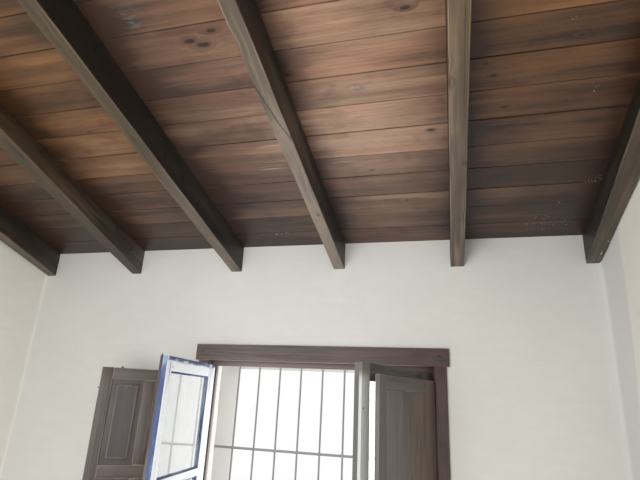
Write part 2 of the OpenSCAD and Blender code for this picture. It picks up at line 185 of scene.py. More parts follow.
class Bench:
    """Gathers the timbers, tiles or bars of one piece. Its place turns and moves what is made."""

    def __init__(self, seed, place=Matrix.Identity(4)):
        self.chance = random.Random(seed)
        self.place = place
        self.points, self.faces = [], []
        self.grain, self.tone, self.wear, self.depth = [], [], [], []

    def skin(self, rings, along, tone=0.0, wear=None):
        """Draws a skin over rings of equally many points, closed at both ends. along is the way
        of the grain. tone is one number, one for each ring, or one for each point of each ring,
        and wear is one for each point of each ring."""
        first, n = len(self.points), len(rings[0])
        side = along.cross(Vector((0, 0, 1)))
        if side.length < UPRIGHT_GRAIN:
            side = Vector((1, 0, 0))
        side.normalize()
        deep = side.cross(along)
        # Each timber comes from its own place in its own tree, so no two are alike.
        shift = Vector([self.chance.uniform(0, 60) for _ in range(3)])
        for number, ring in enumerate(rings):
            for p in ring:
                self.points.append(tuple(self.place @ p))
                self.grain.append(tuple(shift + Vector((p.dot(along), p.dot(side), p.dot(deep)))))
                self.depth.append(p.y)
            ring_tone = tone[number] if isinstance(tone, list) else tone
            self.tone += ring_tone if isinstance(ring_tone, list) else [ring_tone] * n
        unworn = [[0.0] * n] * len(rings)
        self.wear += [w for ring in wear or unworn for w in ring]
        for a in range(first, first + (len(rings) - 1) * n, n):
            self.faces += [(a + k, a + (k + 1) % n, a + n + (k + 1) % n, a + n + k) for k in range(n)]
        last = first + (len(rings) - 1) * n
        self.faces.append(tuple(range(first + n - 1, first - 1, -1)))
        self.faces.append(tuple(range(last, last + n)))

    def piece(self, name):
        """Turns what lies on the bench into one object."""
        mesh = bpy.data.meshes.new(name)
        mesh.from_pydata(self.points, [], self.faces)
        note = mesh.attributes.new("grain", "FLOAT_VECTOR", "POINT")
        note.data.foreach_set("vector", np.array(self.grain, np.float32).ravel())
        for kind in ("tone", "wear", "depth"):
            note = mesh.attributes.new(kind, "FLOAT", "POINT")
            note.data.foreach_set("value", np.array(getattr(self, kind), np.float32))
        return put(name, mesh)


def tidy_mesh(piece, sharp=CREASE):
    """Turns all faces outwards and keeps a crease wherever two of them meet at an angle."""
    work = bmesh.new()
    work.from_mesh(piece.data)
    bmesh.ops.recalc_face_normals(work, faces=work.faces)
    for face in work.faces:
        face.smooth = True
    for edge in work.edges:
        edge.smooth = len(edge.link_faces) == 2 and edge.calc_face_angle(0) < sharp
    work.to_mesh(piece.data)
    work.free()


def dress(piece, finish, slot, *nodes):
    """Gives a finished mesh its material and says which measured nodes it stands for."""
    tidy_mesh(piece)
    piece.data.materials.append(finish)
    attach(piece, "root")
    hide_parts(*nodes)
    triangles = sum(len(p.vertices) - 2 for p in piece.data.polygons)
    print(f"{piece.name}: {triangles} triangles for {', '.join(nodes)}")


# %% [markdown]
# A finish is a small tree of shader nodes around one Principled shader. Written out in full, such
# trees are long and hard to read, so this cell makes a palette: each method adds one kind of
# node, joins what it is given, and hands back the socket that comes out.

# %% A palette for procedural finishes
class Palette:
    """A Principled material and short calls that add and join its nodes."""

    def __init__(self, name, **sockets):
        self.material = bpy.data.materials.new(name)
        self.material.use_nodes = True
        self.tree = self.material.node_tree
        self.shader = self.tree.nodes["Principled BSDF"]
        self.sockets = {s.name.lower().replace(" ", "_"): s for s in self.shader.inputs}
        self.set(**sockets)

    def set(self, **sockets):
        for key, value in sockets.items():
            self.join(value, self.sockets[key])

    def join(self, value, socket):
        if isinstance(value, bpy.types.NodeSocket):
            self.tree.links.new(value, socket)
        elif isinstance(value, tuple) and socket.type == "RGBA":
            socket.default_value = (*value[:3], 1)
        else:
            socket.default_value = value

    def add(self, kind, *inputs, **settings):
        made = self.tree.nodes.new("ShaderNode" + kind)
        for key, value in settings.items():
            setattr(made, key, value)
        for number, value in enumerate(inputs):
            self.join(value, made.inputs[number])
        return made

    def noted(self, name):
        """A value that the bench noted on the mesh."""
        made = self.add("Attribute", attribute_name=name)
        return made.outputs["Vector"] if name == "grain" else made.outputs["Fac"]

    def place(self):
        """Where a point lies in the room, in metres."""
        return self.add("TexCoord").outputs["Object"]

    def stretch(self, where, x, y, z):
        """A place scaled by a factor for each axis. A pattern reads finer where it is large."""
        return self.add("VectorMath", where, (x, y, z), operation="MULTIPLY").outputs[0]

    def noise(self, where, scale, detail=3.0, roughness=0.55):
        made = self.add("TexNoise", where)
        self.join(scale, made.inputs["Scale"])
        self.join(detail, made.inputs["Detail"])
        self.join(roughness, made.inputs["Roughness"])
        return made.outputs["Fac"]

    def span(self, value, low_from, high_from, low_to=0.0, high_to=1.0):
        """Eases from low_to to high_to while a value goes from low_from to high_from."""
        made = self.add("MapRange", value, low_from, high_from, low_to, high_to)
        made.interpolation_type = "SMOOTHSTEP"
        return made.outputs["Result"]

    def sum(self, a, b, operation="ADD"):
        """Two values added, or joined by another operation."""
        return self.add("Math", a, b, operation=operation).outputs[0]

    def times(self, a, b):
        return self.sum(a, b, "MULTIPLY")

    def apart(self, value, middle):
        """How far a value lies from a middle one, either way."""
        return self.sum(self.sum(value, -middle), 0.0, "ABSOLUTE")

    def mix(self, share, a, b, blend="MIX"):
        """Two colours mixed. A colour mix takes its share at socket 0 and its colours at 6 and 7."""
        made = self.add("Mix", data_type="RGBA", blend_type=blend)
        self.join(share, made.inputs[0])
        self.join(a, made.inputs[6])
        self.join(b, made.inputs[7])
        return made.outputs[2]

    def ramp(self, value, *stops):
        """Turns a value into a colour. Each stop is (value, colour)."""
        made = self.add("ValToRGB", value)
        elements = made.color_ramp.elements
        while len(elements) < len(stops):
            elements.new(0.5)
        for element, (position, colour) in zip(elements, stops):
            element.position = position
            element.color = (*colour, 1)
        return made.outputs["Color"]

    def nearness(self, where, marks):
        """How near a point is to the nearest mark: 0 at its middle, 1 at its rim. Each mark is
        ((x, y, z), (half length along x, along y, along z))."""
        nearest = None
        for centre, reach in marks:
            size = Vector([1 / r for r in reach])
            spot = Vector([c * k for c, k in zip(centre, size)])
            scaled = self.stretch(where, *size)
            distance = self.add("VectorMath", scaled, tuple(spot), operation="DISTANCE").outputs["Value"]
            nearest = distance if nearest is None else self.sum(nearest, distance, "MINIMUM")
        return nearest

    def bump(self, height, depth):
        """Makes the light fall as if a height stood out of the surface by so many metres."""
        made = self.add("Bump")
        made.inputs["Strength"].default_value = 1.0
        made.inputs["Distance"].default_value = depth
        self.join(height, made.inputs["Height"])
        return made.outputs["Normal"]


def shade(colour, factor):
    """A colour made lighter or darker."""
    return tuple(factor * c for c in colour)


# %% [markdown]
# Limewash is never one white. Each coat dries with soft clouds and brush strokes, dust greys it
# towards the floor, and the adobe under it makes it swell and dip. The large swells will be in
# the mesh, because they bend the light along the wall. The clouds and the fine tooth of the
# brush are too small for that and go into the finish.
# Inside the room the side walls are made whiter, as painted bounce light from the white walls
# around them. On the right one this stops short of the window wall and leaves an upright strip
# that is made cooler and darker, a painted shadow of the open right casement. A mask could be painted
# for that, but a few measures along the wall say it as well.

# %% The limewash finish
LIMEWASH = (0.68, 0.668, 0.632)
DUST = (0.46, 0.40, 0.33)
KNOCKS = (0.36, 0.33, 0.30)
# What the limewash is multiplied by, for painted bounce light on the side walls and for a painted shadow
# strip.
BOUNCE_LIGHT_TINT = (1.23, 1.22, 1.18)
SHADOW_STRIP_TINT = (0.87, 0.89, 0.93)
# The painted shadow strip runs from the window wall out to STRIP_Y at STRIP_Z, and narrows by STRIP_SLANT
# for each metre down.
STRIP_Y, STRIP_Z, STRIP_SLANT = 0.44, 2.23, 0.107


def limewash():
    p = Palette("limewash", roughness=0.93)
    where = p.place()
    clouds = p.noise(where, 1.3, 4.0)
    strokes = p.noise(p.stretch(where, 3.0, 3.0, 9.0), 3.0, 5.0)
    marks = p.span(p.noise(where, 19.0, 2.0), 0.70, 0.80)
    tone = p.mix(p.span(clouds, 0.35, 0.70), shade(LIMEWASH, 0.955), LIMEWASH)
    tone = p.mix(p.times(p.span(strokes, 0.40, 0.75), 0.45), tone, shade(LIMEWASH, 1.03))
    parts = p.add("SeparateXYZ", where)
    height = parts.outputs["Z"]
    dust = p.times(p.span(height, 0.55, 0.0), p.span(clouds, 0.2, 0.8, 0.15, 0.55))
    tone = p.mix(dust, tone, DUST)
    tone = p.mix(p.times(marks, 0.10), tone, KNOCKS)
    off_middle = p.apart(parts.outputs["X"], 0.0)
    in_room = p.times(p.span(off_middle, HALF_ROOM + 0.030, HALF_ROOM + 0.016),
                      p.span(parts.outputs["Y"], INNER_Y + 0.06, INNER_Y + 0.01))
    facing = p.add("SeparateXYZ", p.add("NewGeometry").outputs["Normal"]).outputs["X"]
    in_room = p.times(in_room, p.span(p.apart(facing, 0.0), 0.45, 0.90))
    # Painted bounce light: the side walls inside the room are made whiter.
    bounce_lit = p.times(p.span(off_middle, HALF_ROOM - 0.050, HALF_ROOM - 0.040), in_room)
    tone = p.mix(bounce_lit, tone, BOUNCE_LIGHT_TINT, "MULTIPLY")
    # Painted shadow: on the right wall an upright strip by the window wall is made cooler and darker, where
    # the open right casement casts its shadow.
    wavy = p.sum(parts.outputs["Y"], p.times(p.sum(clouds, -0.5), 0.06))
    from_edge = p.sum(wavy, p.times(p.sum(height, -STRIP_Z), STRIP_SLANT))
    shadow_strip = p.times(p.span(from_edge, STRIP_Y - 0.012, STRIP_Y + 0.014),
                    p.span(parts.outputs["X"], HALF_ROOM - 0.050, HALF_ROOM - 0.040))
    shadow_strip = p.times(shadow_strip, in_room)
    tone = p.mix(shadow_strip, tone, SHADOW_STRIP_TINT, "MULTIPLY")
    tooth = p.sum(p.noise(where, 140.0, 3.0), p.times(strokes, 1.1))
    p.set(base_color=tone, normal=p.bump(tooth, 0.0008))
    return p.material


LIMEWASH_FINISH = limewash()
print("finish:", LIMEWASH_FINISH.name)

# %% [markdown]
# The three walls and the masonry between the beams' ends meet in soft corners, so they are one
# skin and not a set of boxes. A wall with a window is easily cut with a Boolean, but the cut
# leaves long thin faces that can't swell. Instead the masonry is set out like blockwork: lines
# are ruled through every edge that matters and evenly between them, each small block is marked
# solid or empty, and a face is laid wherever solid meets empty. The result is an even net of
# small four-sided faces, ready to be shaped.

# %% Rule the lines of the blockwork
BLOCK = 0.055
# Extra lines this far from a corner of the room, so that it can be rounded.
CORNER_LINES = (0.008, 0.022, 0.05)


def ruled(*keys):
    """All the key lines in order, with even lines between them, no further apart than a block."""
    marks = sorted({round(k, 5) for k in keys})
    lines = [marks[0]]
    for a, b in zip(marks, marks[1:]):
        lines += evenly(a, b, BLOCK)[1:]
    return np.array(lines)


def section_rings(node):
    """The plumb sections of a beam, read off its corners: {y: [low left, top left, top right,
    low right]}."""
    rows = {}
    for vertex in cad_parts[node].data.vertices:
        rows.setdefault(round(vertex.co.y, 3), set()).add(tuple(round(c, 5) for c in vertex.co))
    rings = {}
    for y, corners in sorted(rows.items()):
        left, right = sorted(corners)[:2], sorted(corners)[-2:]
        lower_left, upper_left = sorted(left, key=lambda c: c[2])
        lower_right, upper_right = sorted(right, key=lambda c: c[2])
        rings[y] = [Vector(c) for c in (lower_left, upper_left, upper_right, lower_right)]
    return rings


BEAMS = {name: section_rings(name) for name in sorted(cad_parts) if name.startswith("beam_")
         and name != "beam_filling"}


def ring_at(beam, y):
    """A beam's four corners at any place between its sections."""
    rows = sorted(BEAMS[beam])
    for a, b in zip(rows, rows[1:]):
        if y <= b + 1e-6:
            t = (y - a) / (b - a)
            return [p.lerp(q, t) for p, q in zip(BEAMS[beam][a], BEAMS[beam][b])]
    return BEAMS[beam][rows[-1]]


def hash_of(word):
    """A steady number from a name, the same in every run."""
    return sum(ord(c) * (k + 1) for k, c in enumerate(word)) % 97


BEAM_FOOT_Z = ring_at("beam_3", INNER_Y)[0].z
for name in BEAMS:
    print(name, "sections at y =", sorted(BEAMS[name]))

# %% [markdown]
# Now the blocks. The wall's head is cut for the six beams, and the window for its frame and its
# splayed sill. The lines of the wall's head follow the slope and the beams' own slant, so the
# pockets fit the beams without any cutting.

# %% Mark the solid blocks
FRAME_LOW, FRAME_HIGH = low("sill_rail"), high("head_board")
FRAME_L, FRAME_R = low("left_jamb").x, high("right_jamb").x
REVEAL_L, REVEAL_R = low("cross_bars").x, high("cross_bars").x
REVEAL_SILL, REVEAL_HEAD = low("window_bars").z, high("window_bars").z
FRAME_BACK = FRAME_HIGH.y
# Up to this height the lines are level, and above it they come to lean with the roof.
LEVEL_Z = FRAME_HIGH.z + 0.06
HEAD_L, HEAD_R = low("head_board").x, high("head_board").x

pockets = [(ring_at(b, INNER_Y)[0].x, ring_at(b, INNER_Y)[3].x) for b in BEAMS]
lines_x = ruled(-HALF_OUT, -HALF_ROOM, HALF_ROOM, HALF_OUT, FRAME_L, FRAME_R, REVEAL_L, REVEAL_R,
                HEAD_L, HEAD_R, *[x for pocket in pockets for x in pocket],
                *[s * (HALF_ROOM - d) for s in (-1, 1) for d in CORNER_LINES])
lines_y = ruled(OPEN_Y, INNER_Y, FRAME_BACK, (INNER_Y + OUTER_Y) / 2, OUTER_Y,
                *[INNER_Y - d for d in CORNER_LINES])
lines_z = ruled(0, FRAME_LOW.z, REVEAL_SILL, REVEAL_HEAD, low("head_board").z, FRAME_HIGH.z,
                high("left_jamb").z, LEVEL_Z, BEAM_FOOT_Z, BOARDS_Z)


def solid_blocks():
    x, y, z = np.meshgrid(*[(line[1:] + line[:-1]) / 2 for line in (lines_x, lines_y, lines_z)],
                          indexing="ij")
    solid = (np.abs(x) > HALF_ROOM) | (y > INNER_Y)
    in_frame = (x > FRAME_L) & (x < FRAME_R) & (z > FRAME_LOW.z) & (z < FRAME_HIGH.z)
    in_horns = (x > HEAD_L) & (x < HEAD_R) & (z > high("left_jamb").z) & (z < FRAME_HIGH.z)
    solid &= ~((in_frame | in_horns) & (y > INNER_Y) & (y < FRAME_BACK))
    in_reveal = (x > REVEAL_L) & (x < REVEAL_R) & (z > REVEAL_SILL) & (z < REVEAL_HEAD)
    solid &= ~(in_reveal & (y > FRAME_BACK))
    for left, right in pockets:
        solid &= ~((x > left) & (x < right) & (z > BEAM_FOOT_Z) & (y > INNER_Y))
    return solid


solid = solid_blocks()
print("blocks:", solid.size, "of which solid:", int(solid.sum()))

# %% [markdown]
# A face is laid on each side of a block whose neighbour is empty. Doing this with whole arrays
# keeps it fast: the block grid is padded with a ring of empty cells and compared with itself,
# shifted by one, along each axis in turn.

# %% Lay a face wherever solid meets empty
def skin_of_blocks(solid):
    """The net's corner numbers (i, j, k) and its faces, each turned to the empty side."""
    padded = np.pad(solid, 1)
    faces = []
    for axis in range(3):
        ahead = np.roll(padded, -1, axis)
        around = [np.eye(3, dtype=int)[(axis + 1) % 3], np.eye(3, dtype=int)[(axis + 2) % 3]]
        for mine, other, flip in ((padded, ahead, False), (ahead, padded, True)):
            base = np.argwhere(mine & ~other) - 1
            base[:, axis] += 1
            loop = [base, base + around[0], base + around[0] + around[1], base + around[1]]
            faces.append(np.stack(loop[::-1] if flip else loop, 1))
    faces = np.concatenate(faces)
    corners, number = np.unique(faces.reshape(-1, 3), axis=0, return_inverse=True)
    return corners, number.reshape(-1, 4)


net, net_faces = skin_of_blocks(solid)
print("net:", len(net), "corners and", len(net_faces), "faces")

# %% [markdown]
# The net is still straight. Four gentle moves shape it: the head leans with the roof and the
# beams, the sill falls outwards, the corners of the room are filled to a soft round, and the
# whole surface swells by a few millimetres. The left corner is sharper than the right one, as
# the plasterer left it. Modifiers could do parts of this, but each move depends on where in the
# room a point lies, and code says that most plainly.

# %% Shape the net
SILL_FALL = 0.020
SWELL = 0.0035
CORNER_L, CORNER_R = 0.018, 0.036
# Over this height, just above the beams' feet, a round corner turns sharp.
CORNER_END = 0.03
# Points closer than this to a line or to an outer face count as on it.
ON_LINE, ON_FACE = 1e-4, 1e-3


def lean_with_roof(points):
    x, y, z = points.T
    reach = np.clip((z - LEVEL_Z) / (BEAM_FOOT_Z - LEVEL_Z), 0, 1)
    marks, slants = [-HALF_OUT], [0.0]
    for beam in BEAMS:
        inside, outside = ring_at(beam, INNER_Y), ring_at(beam, OUTER_Y)
        for corner in (0, 3):
            marks.append(inside[corner].x)
            slants.append((outside[corner].x - inside[corner].x) / (OUTER_Y - INNER_Y))
    slant = np.interp(x, marks + [HALF_OUT], slants + [0.0])
    drift = np.where(y > INNER_Y, slant * (y - INNER_Y) * reach, 0)
    points[:, 0] += drift
    points[:, 2] += RISE * (INNER_Y - y) * reach
    on_sill = (np.abs(z - REVEAL_SILL) < ON_LINE) & (x >= REVEAL_L - ON_LINE) & (x <= REVEAL_R + ON_LINE)
    middle = (INNER_Y + OUTER_Y) / 2
    points[:, 2] -= np.where(on_sill & (y > middle), SILL_FALL * (y - middle) / (OUTER_Y - middle), 0)


def round_corner(distance, radius):
    """Where a point goes that lay so far from a corner along one wall: its new distance from
    the other wall, and how far it comes off its own."""
    turn = np.clip(1 - distance / radius, 0, 1) * math.pi / 4
    return np.where(distance < radius, radius * (1 - np.sin(turn)), distance), radius * (1 - np.cos(turn))


def soften_corners(points):
    x, y, z = points.T.copy()
    for side, radius in ((-1, CORNER_L), (1, CORNER_R)):
        to_side_wall, to_window_wall = np.abs(side * HALF_ROOM - x), INNER_Y - y
        in_room = (side * x <= HALF_ROOM + ON_LINE) & (to_window_wall > -ON_LINE)
        on_window_wall = in_room & (np.abs(to_window_wall) < ON_LINE)
        on_side_wall = in_room & (to_side_wall < ON_LINE)
        here = np.clip((BEAM_FOOT_Z + CORNER_END - z) / CORNER_END, 0, 1)
        ragged = np.array([radius * (0.85 + 0.4 * noise.noise(Vector((side * 9, 0, 3.1 * h)))) for h in z])
        near, off = round_corner(to_side_wall, ragged)
        points[:, 0] += np.where(on_window_wall & ~on_side_wall, side * (to_side_wall - near) * here, 0)
        points[:, 1] -= np.where(on_window_wall, off * here, 0)
        near, off = round_corner(to_window_wall, ragged)
        points[:, 1] += np.where(on_side_wall & ~on_window_wall, (to_window_wall - near) * here, 0)
        points[:, 0] -= np.where(on_side_wall, side * off * here, 0)


def swell(points, faces):
    """Moves each corner a little along its own normal, never past the part's outer faces."""
    normals = np.zeros_like(points)
    a, b, c, d = [points[faces[:, k]] for k in range(4)]
    cross = np.cross(c - a, d - b)
    for k in range(4):
        np.add.at(normals, faces[:, k], cross)
    normals /= np.linalg.norm(normals, axis=1)[:, None]
    broad = [0.75 * noise.noise(Vector(p) * 1.7) for p in points]
    fine = [0.3 * noise.noise(Vector(p) * 6.0) for p in points]
    # The two together mostly stay within 0.6.
    move = normals * ((np.array(broad) + np.array(fine)) * SWELL / 0.6)[:, None]
    x, y, z = points.T
    move[np.abs(x) > HALF_OUT - ON_FACE, 0] = 0
    move[y < OPEN_Y + ON_FACE, 1] = 0
    move[z < ON_FACE, 2] = 0
    top = z > BOARDS_Z + RISE * (INNER_Y - y) - ON_FACE
    move[top] = 0
    # Around the window's frame the plaster is dressed flatter.
    near_frame = (x > HEAD_L - 0.02) & (x < HEAD_R + 0.02)
    near_frame &= (z > FRAME_LOW.z - 0.02) & (z < FRAME_HIGH.z + 0.02)
    move[near_frame & (y < FRAME_BACK + 0.01)] *= 0.35
    points += move
    points[:, 2] = np.maximum(points[:, 2], 0)


net_points = np.stack([lines_x[net[:, 0]], lines_y[net[:, 1]], lines_z[net[:, 2]]], 1)
lean_with_roof(net_points)
soften_corners(net_points)
swell(net_points, net_faces)
print("net shaped, highest point", round(float(net_points[:, 2].max()), 4))

# %% [markdown]
# Plaster can't hold a knife edge: every outer arris is rounded by hand and by years of knocks.
# A Bevel modifier would choose the edges by their angle alone, so they are chosen here. The feet
# are left out, as they stand on the ground, and so are the pockets and the edge around the
# window's frame, where the plaster is dressed tight to the wood.

# %% Round the arrises and finish the walls
ARRIS = 0.009
SHARP_ENOUGH = math.radians(50)


def is_arris(edge):
    if len(edge.link_faces) != 2 or not edge.is_convex or edge.calc_face_angle(0) < SHARP_ENOUGH:
        return False
    middle = (edge.verts[0].co + edge.verts[1].co) / 2
    in_room_face = abs(middle.y - INNER_Y) < 0.02 and abs(middle.x) < HALF_ROOM - 0.1
    at_head = middle.z > BEAM_FOOT_Z + RISE * (INNER_Y - middle.y) - 0.03
    return middle.z > 0.002 and not in_room_face and not at_head


def build_walls():
    mesh = bpy.data.meshes.new("plastered_walls")
    mesh.from_pydata(net_points.tolist(), [], net_faces.tolist())
    work = bmesh.new()
    work.from_mesh(mesh)
    bmesh.ops.recalc_face_normals(work, faces=work.faces)
    arrises = [e for e in work.edges if is_arris(e)]
    bmesh.ops.bevel(work, geom=arrises, offset=ARRIS, offset_type="OFFSET", segments=3, profile=0.5,
                    affect="EDGES", clamp_overlap=True)
    work.to_mesh(mesh)
    work.free()
    print("rounded arrises:", len(arrises))
    return put("plastered_walls", mesh)


walls = build_walls()
dress(walls, LIMEWASH_FINISH, "plaster", "window_wall", "left_wall", "right_wall", "beam_filling")

# %% [markdown]
# Wood is the main thing to look at in this room, in five kinds: hewn beams, sawn boards, the
# window's frame, its painted casements and its stained shutters. They share one recipe. Broad
# bands run along the grain, fine streaks run between them, knots press the bands aside, and the
# worn arrises are lighter. What changes is the colours, the gloss and how strong each part is,
# so the recipe is one function that takes them.

# %% A recipe for wood
# The middle of the painted sheen on the roof lies over this x.
BRIGHT_X = 0.4


def wood(name, dark, middle, pale, worn, gloss, fineness, knots, relief, checks=0.0, marks=(),
         contrast=1.0):
    """A wood finish. Knots come by chance, and also wherever marks are given. Checks are the
    long cracks of drying."""
    p = Palette(name, roughness=gloss)
    grain = p.noted("grain")
    cell = p.add("TexVoronoi", p.stretch(grain, 1.6, 7.5, 7.5), feature="F1")
    cell.inputs["Scale"].default_value = 1.0
    core = p.times(p.span(cell.outputs["Distance"], 0.16, 0.07), knots)
    near_knot = p.times(p.span(cell.outputs["Distance"], 0.34, 0.0), knots)
    if marks:
        ragged = p.noise(p.stretch(p.place(), 40, 40, 40), 1.0, 2.0)
        near = p.sum(p.nearness(p.place(), marks), p.times(ragged, 0.7))
        near_knot = p.sum(near_knot, p.span(near, 2.9, 0.9), "MAXIMUM")
        core = p.sum(core, p.span(near, 1.35, 0.75), "MAXIMUM")
    pressed = p.add("CombineXYZ", 0.0, p.times(near_knot, 0.035), p.times(near_knot, 0.020)).outputs[0]
    bent = p.add("VectorMath", grain, pressed).outputs[0]
    bands = p.noise(p.stretch(bent, 1.1, 16.0 * fineness, 16.0 * fineness), 1.0, 3.0)
    streaks = p.noise(p.stretch(bent, 3.0, 90.0 * fineness, 90.0 * fineness), 1.0, 4.0, 0.65)
    pores = p.noise(p.stretch(bent, 14.0, 420.0, 420.0), 1.0, 2.0)
    clouds = p.noise(p.stretch(grain, 1.8, 5.0, 5.0), 1.0, 3.0)
    mixed = p.sum(p.sum(p.times(bands, 0.55), p.times(streaks, 0.30)), p.times(clouds, 0.47))
    mixed = p.sum(p.times(p.sum(mixed, -0.66), contrast), p.sum(p.noted("tone"), 0.49))
    colour = p.ramp(mixed, (0.26, dark), (0.50, middle), (0.76, pale))
    colour = p.mix(p.times(p.span(pores, 0.56, 0.72), 0.40), colour, shade(dark, 0.8))
    colour = p.mix(p.times(p.span(near_knot, 0.1, 0.9), 0.45), colour, shade(dark, 1.4))
    colour = p.mix(p.times(core, 0.9), colour, shade(dark, 0.35))
    rubbed = p.times(p.noted("wear"), p.span(streaks, 0.35, 0.62, 0.25, 1.0))
    colour = p.mix(rubbed, colour, worn)
    height = p.sum(streaks, p.times(pores, 0.35))
    if checks:
        along = p.noise(p.stretch(grain, 0.9, 26.0, 26.0), 1.0, 2.0)
        off_line = p.apart(along, 0.5)
        open_here = p.span(p.noise(p.stretch(grain, 1.3, 9.0, 9.0), 1.0), 0.52, 0.62)
        crack = p.times(p.times(p.span(off_line, 0.010, 0.002), open_here), checks)
        colour = p.mix(crack, colour, shade(dark, 0.25))
        height = p.sum(height, p.times(crack, -2.5))
    p.set(base_color=colour, normal=p.bump(height, relief))
    return p, colour


def tinted_by_window_sheen(p, colour, warm, cool):
    """Painted reflection: near the window and over the middle bays the stain is tinted cool, as the
    window's daylight would shine off its satin. In the outer bays, and away from the window, it keeps its
    warmth."""
    parts = p.add("SeparateXYZ", p.place())
    away = p.span(parts.outputs["Y"], 0.6, -1.2, -0.25, 0.40)
    off_middle = p.apart(parts.outputs["X"], BRIGHT_X)
    out_of_sheen = p.sum(away, p.span(off_middle, 0.45, 0.85, 0.0, 0.60))
    filtered = p.mix(p.span(out_of_sheen, 0.0, 1.0), cool, warm)
    return p.mix(1.0, colour, filtered, "MULTIPLY")


print("the wood recipe is ready")

# %% [markdown]
# The boards were stained a satin reddish brown. From below each one reads as a single tone with
# long fine streaks: some tan, some red, some nearly black. Those near the wall are made darker
# with painted shade. A picture of planks would be quicker but shows its repeats. Here the
# streaks come by chance, and only the marks that catch the eye are listed one by one: knots,
# blue stain, painted highlights where the satin catches the light, and flakes of lime paint,
# each an oval on the ceiling.

# %% The board finish
BOARD_DARK, BOARD_RED, BOARD_TAN = (0.034, 0.019, 0.013), (0.150, 0.086, 0.053), (0.430, 0.270, 0.165)
JOINT_GRIME = (0.012, 0.009, 0.007)
# A knot is (pixel, radius), and any other mark is (pixel, (half width, half depth)).
KNOTS_SEEN = (((405, 8), 0.016), ((203, 45), 0.024), ((189.5, 41.5), 0.020), ((431, 130), 0.013),
              ((372, 170), 0.010), ((407, 200), 0.009), ((493, 76), 0.012), ((486, 64), 0.009),
              ((504, 107), 0.013), ((582, 35), 0.011), ((288, 75), 0.013), ((210.5, 30.5), 0.019),
              ((215, 180), 0.012))
BLUE_SEEN = (((357, 88), (0.060, 0.030)), ((130, 18), (0.050, 0.070)), ((330, 88), (0.035, 0.025)))
# The shiny marks are painted highlights, where the boards' satin catches the light.
SHINY_SEEN = (((275, 143), (0.090, 0.045)), ((271, 168), (0.100, 0.022)))
FLAKES_SEEN = (((577, 18), (0.02, 0.02)), ((597, 89), (0.02, 0.02)))
# More of each, given as (x, y) in the room.
OTHER_KNOTS = (((-0.62, -0.31), 0.012), ((-1.20, 0.18), 0.010), ((1.25, 0.42), 0.008),
               ((0.02, -1.1), 0.013), ((1.30, -1.05), 0.012), ((-0.75, -1.12), 0.014))
OTHER_BLUE = (((0.59, 0.12), (0.045, 0.022)),)
OTHER_SHINY = (((0.52, 0.02), (0.10, 0.025)),)
OTHER_FLAKES = (((1.47, 0.60), (0.16, 0.10)), ((1.50, 0.44), (0.03, 0.03)), ((1.61, 0.27), (0.05, 0.05)),
                ((0.1, 0.60), (0.3, 0.02)))
# A knot's half lengths along the boards and across them, in radii.
KNOT_ALONG, KNOT_ACROSS = 1.4, 0.6
# The colour of a painted highlight, then those of the blue stain and of the lime flakes.
GLINT_STREAK, BLUE_STAIN, LIME_FLAKE = (0.62, 0.56, 0.50), (0.085, 0.095, 0.110), (0.68, 0.67, 0.64)
# What the stain is multiplied by, where it is redder and in its darker blotches.
REDDER, BLOTCH = (1.15, 0.94, 0.86), (0.52, 0.46, 0.46)
# So tall a mark reaches every height, as it is set in plan alone.
ANY_HEIGHT = 1000.0


def flat_marks(seen, others):
    """Marks on the ceiling at any height, from those noted by pixel and those noted by x and y."""
    places = [(on_boards(pixel), reach) for pixel, reach in seen]
    places += [(Vector(place), reach) for place, reach in others]
    return [((p.x, p.y, 0.0), (*reach, ANY_HEIGHT)) for p, reach in places]


def board_finish():
    knots = flat_marks(*[[(place, (KNOT_ALONG * r, KNOT_ACROSS * r)) for place, r in listed]
                         for listed in (KNOTS_SEEN, OTHER_KNOTS)])
    p, colour = wood("stained_boards", BOARD_DARK, BOARD_RED, BOARD_TAN, JOINT_GRIME,
                     gloss=0.38, fineness=1.1, knots=0.35, relief=0.0007, marks=knots, contrast=0.72)
    where, grain = p.place(), p.noted("grain")
    redden = p.span(p.noise(p.stretch(grain, 0.8, 4.0, 4.0), 1.0, 2.0), 0.45, 0.70)
    colour = p.mix(p.times(redden, 0.6), colour, REDDER, "MULTIPLY")
    blotch = p.span(p.noise(p.stretch(where, 5.0, 7.0, 7.0), 1.0, 4.0, 0.6), 0.50, 0.68)
    colour = p.mix(p.times(blotch, 0.52), colour, BLOTCH, "MULTIPLY")
    # Painted reflection: the boards' stain is tinted cool where the window's daylight shines off it.
    colour = tinted_by_window_sheen(p, colour, (1.12, 0.85, 0.42), (0.98, 0.98, 1.06))
    mottle = p.noise(p.stretch(grain, 30.0, 60.0, 60.0), 1.0, 3.0)
    in_stain = p.span(p.nearness(where, flat_marks(BLUE_SEEN, OTHER_BLUE)), 1.0, 0.3)
    blue = p.times(in_stain, p.span(mottle, 0.46, 0.60))
    colour = p.mix(p.times(blue, 0.55), colour, BLUE_STAIN)
    # Painted highlight: pale streaks along the grain where the satin catches the light.
    hair = p.noise(p.stretch(grain, 3.0, 260.0, 260.0), 1.0, 3.0, 0.6)
    in_streak = p.span(p.nearness(where, flat_marks(SHINY_SEEN, OTHER_SHINY)), 1.0, 0.1)
    shiny = p.times(in_streak, p.span(hair, 0.53, 0.64))
    colour = p.mix(p.times(shiny, 0.62), colour, GLINT_STREAK)
    flake = p.times(p.span(p.noise(where, 150.0, 2.0), 0.67, 0.70),
                    p.span(p.nearness(where, flat_marks(FLAKES_SEEN, OTHER_FLAKES)), 1.0, 0.6))
    colour = p.mix(flake, colour, LIME_FLAKE)
    p.set(base_color=colour, roughness=p.span(p.noted("wear"), 0.0, 0.6, 0.40, 0.95))
    return p.material


BOARD_FINISH = board_finish()
print("finish:", BOARD_FINISH.name)

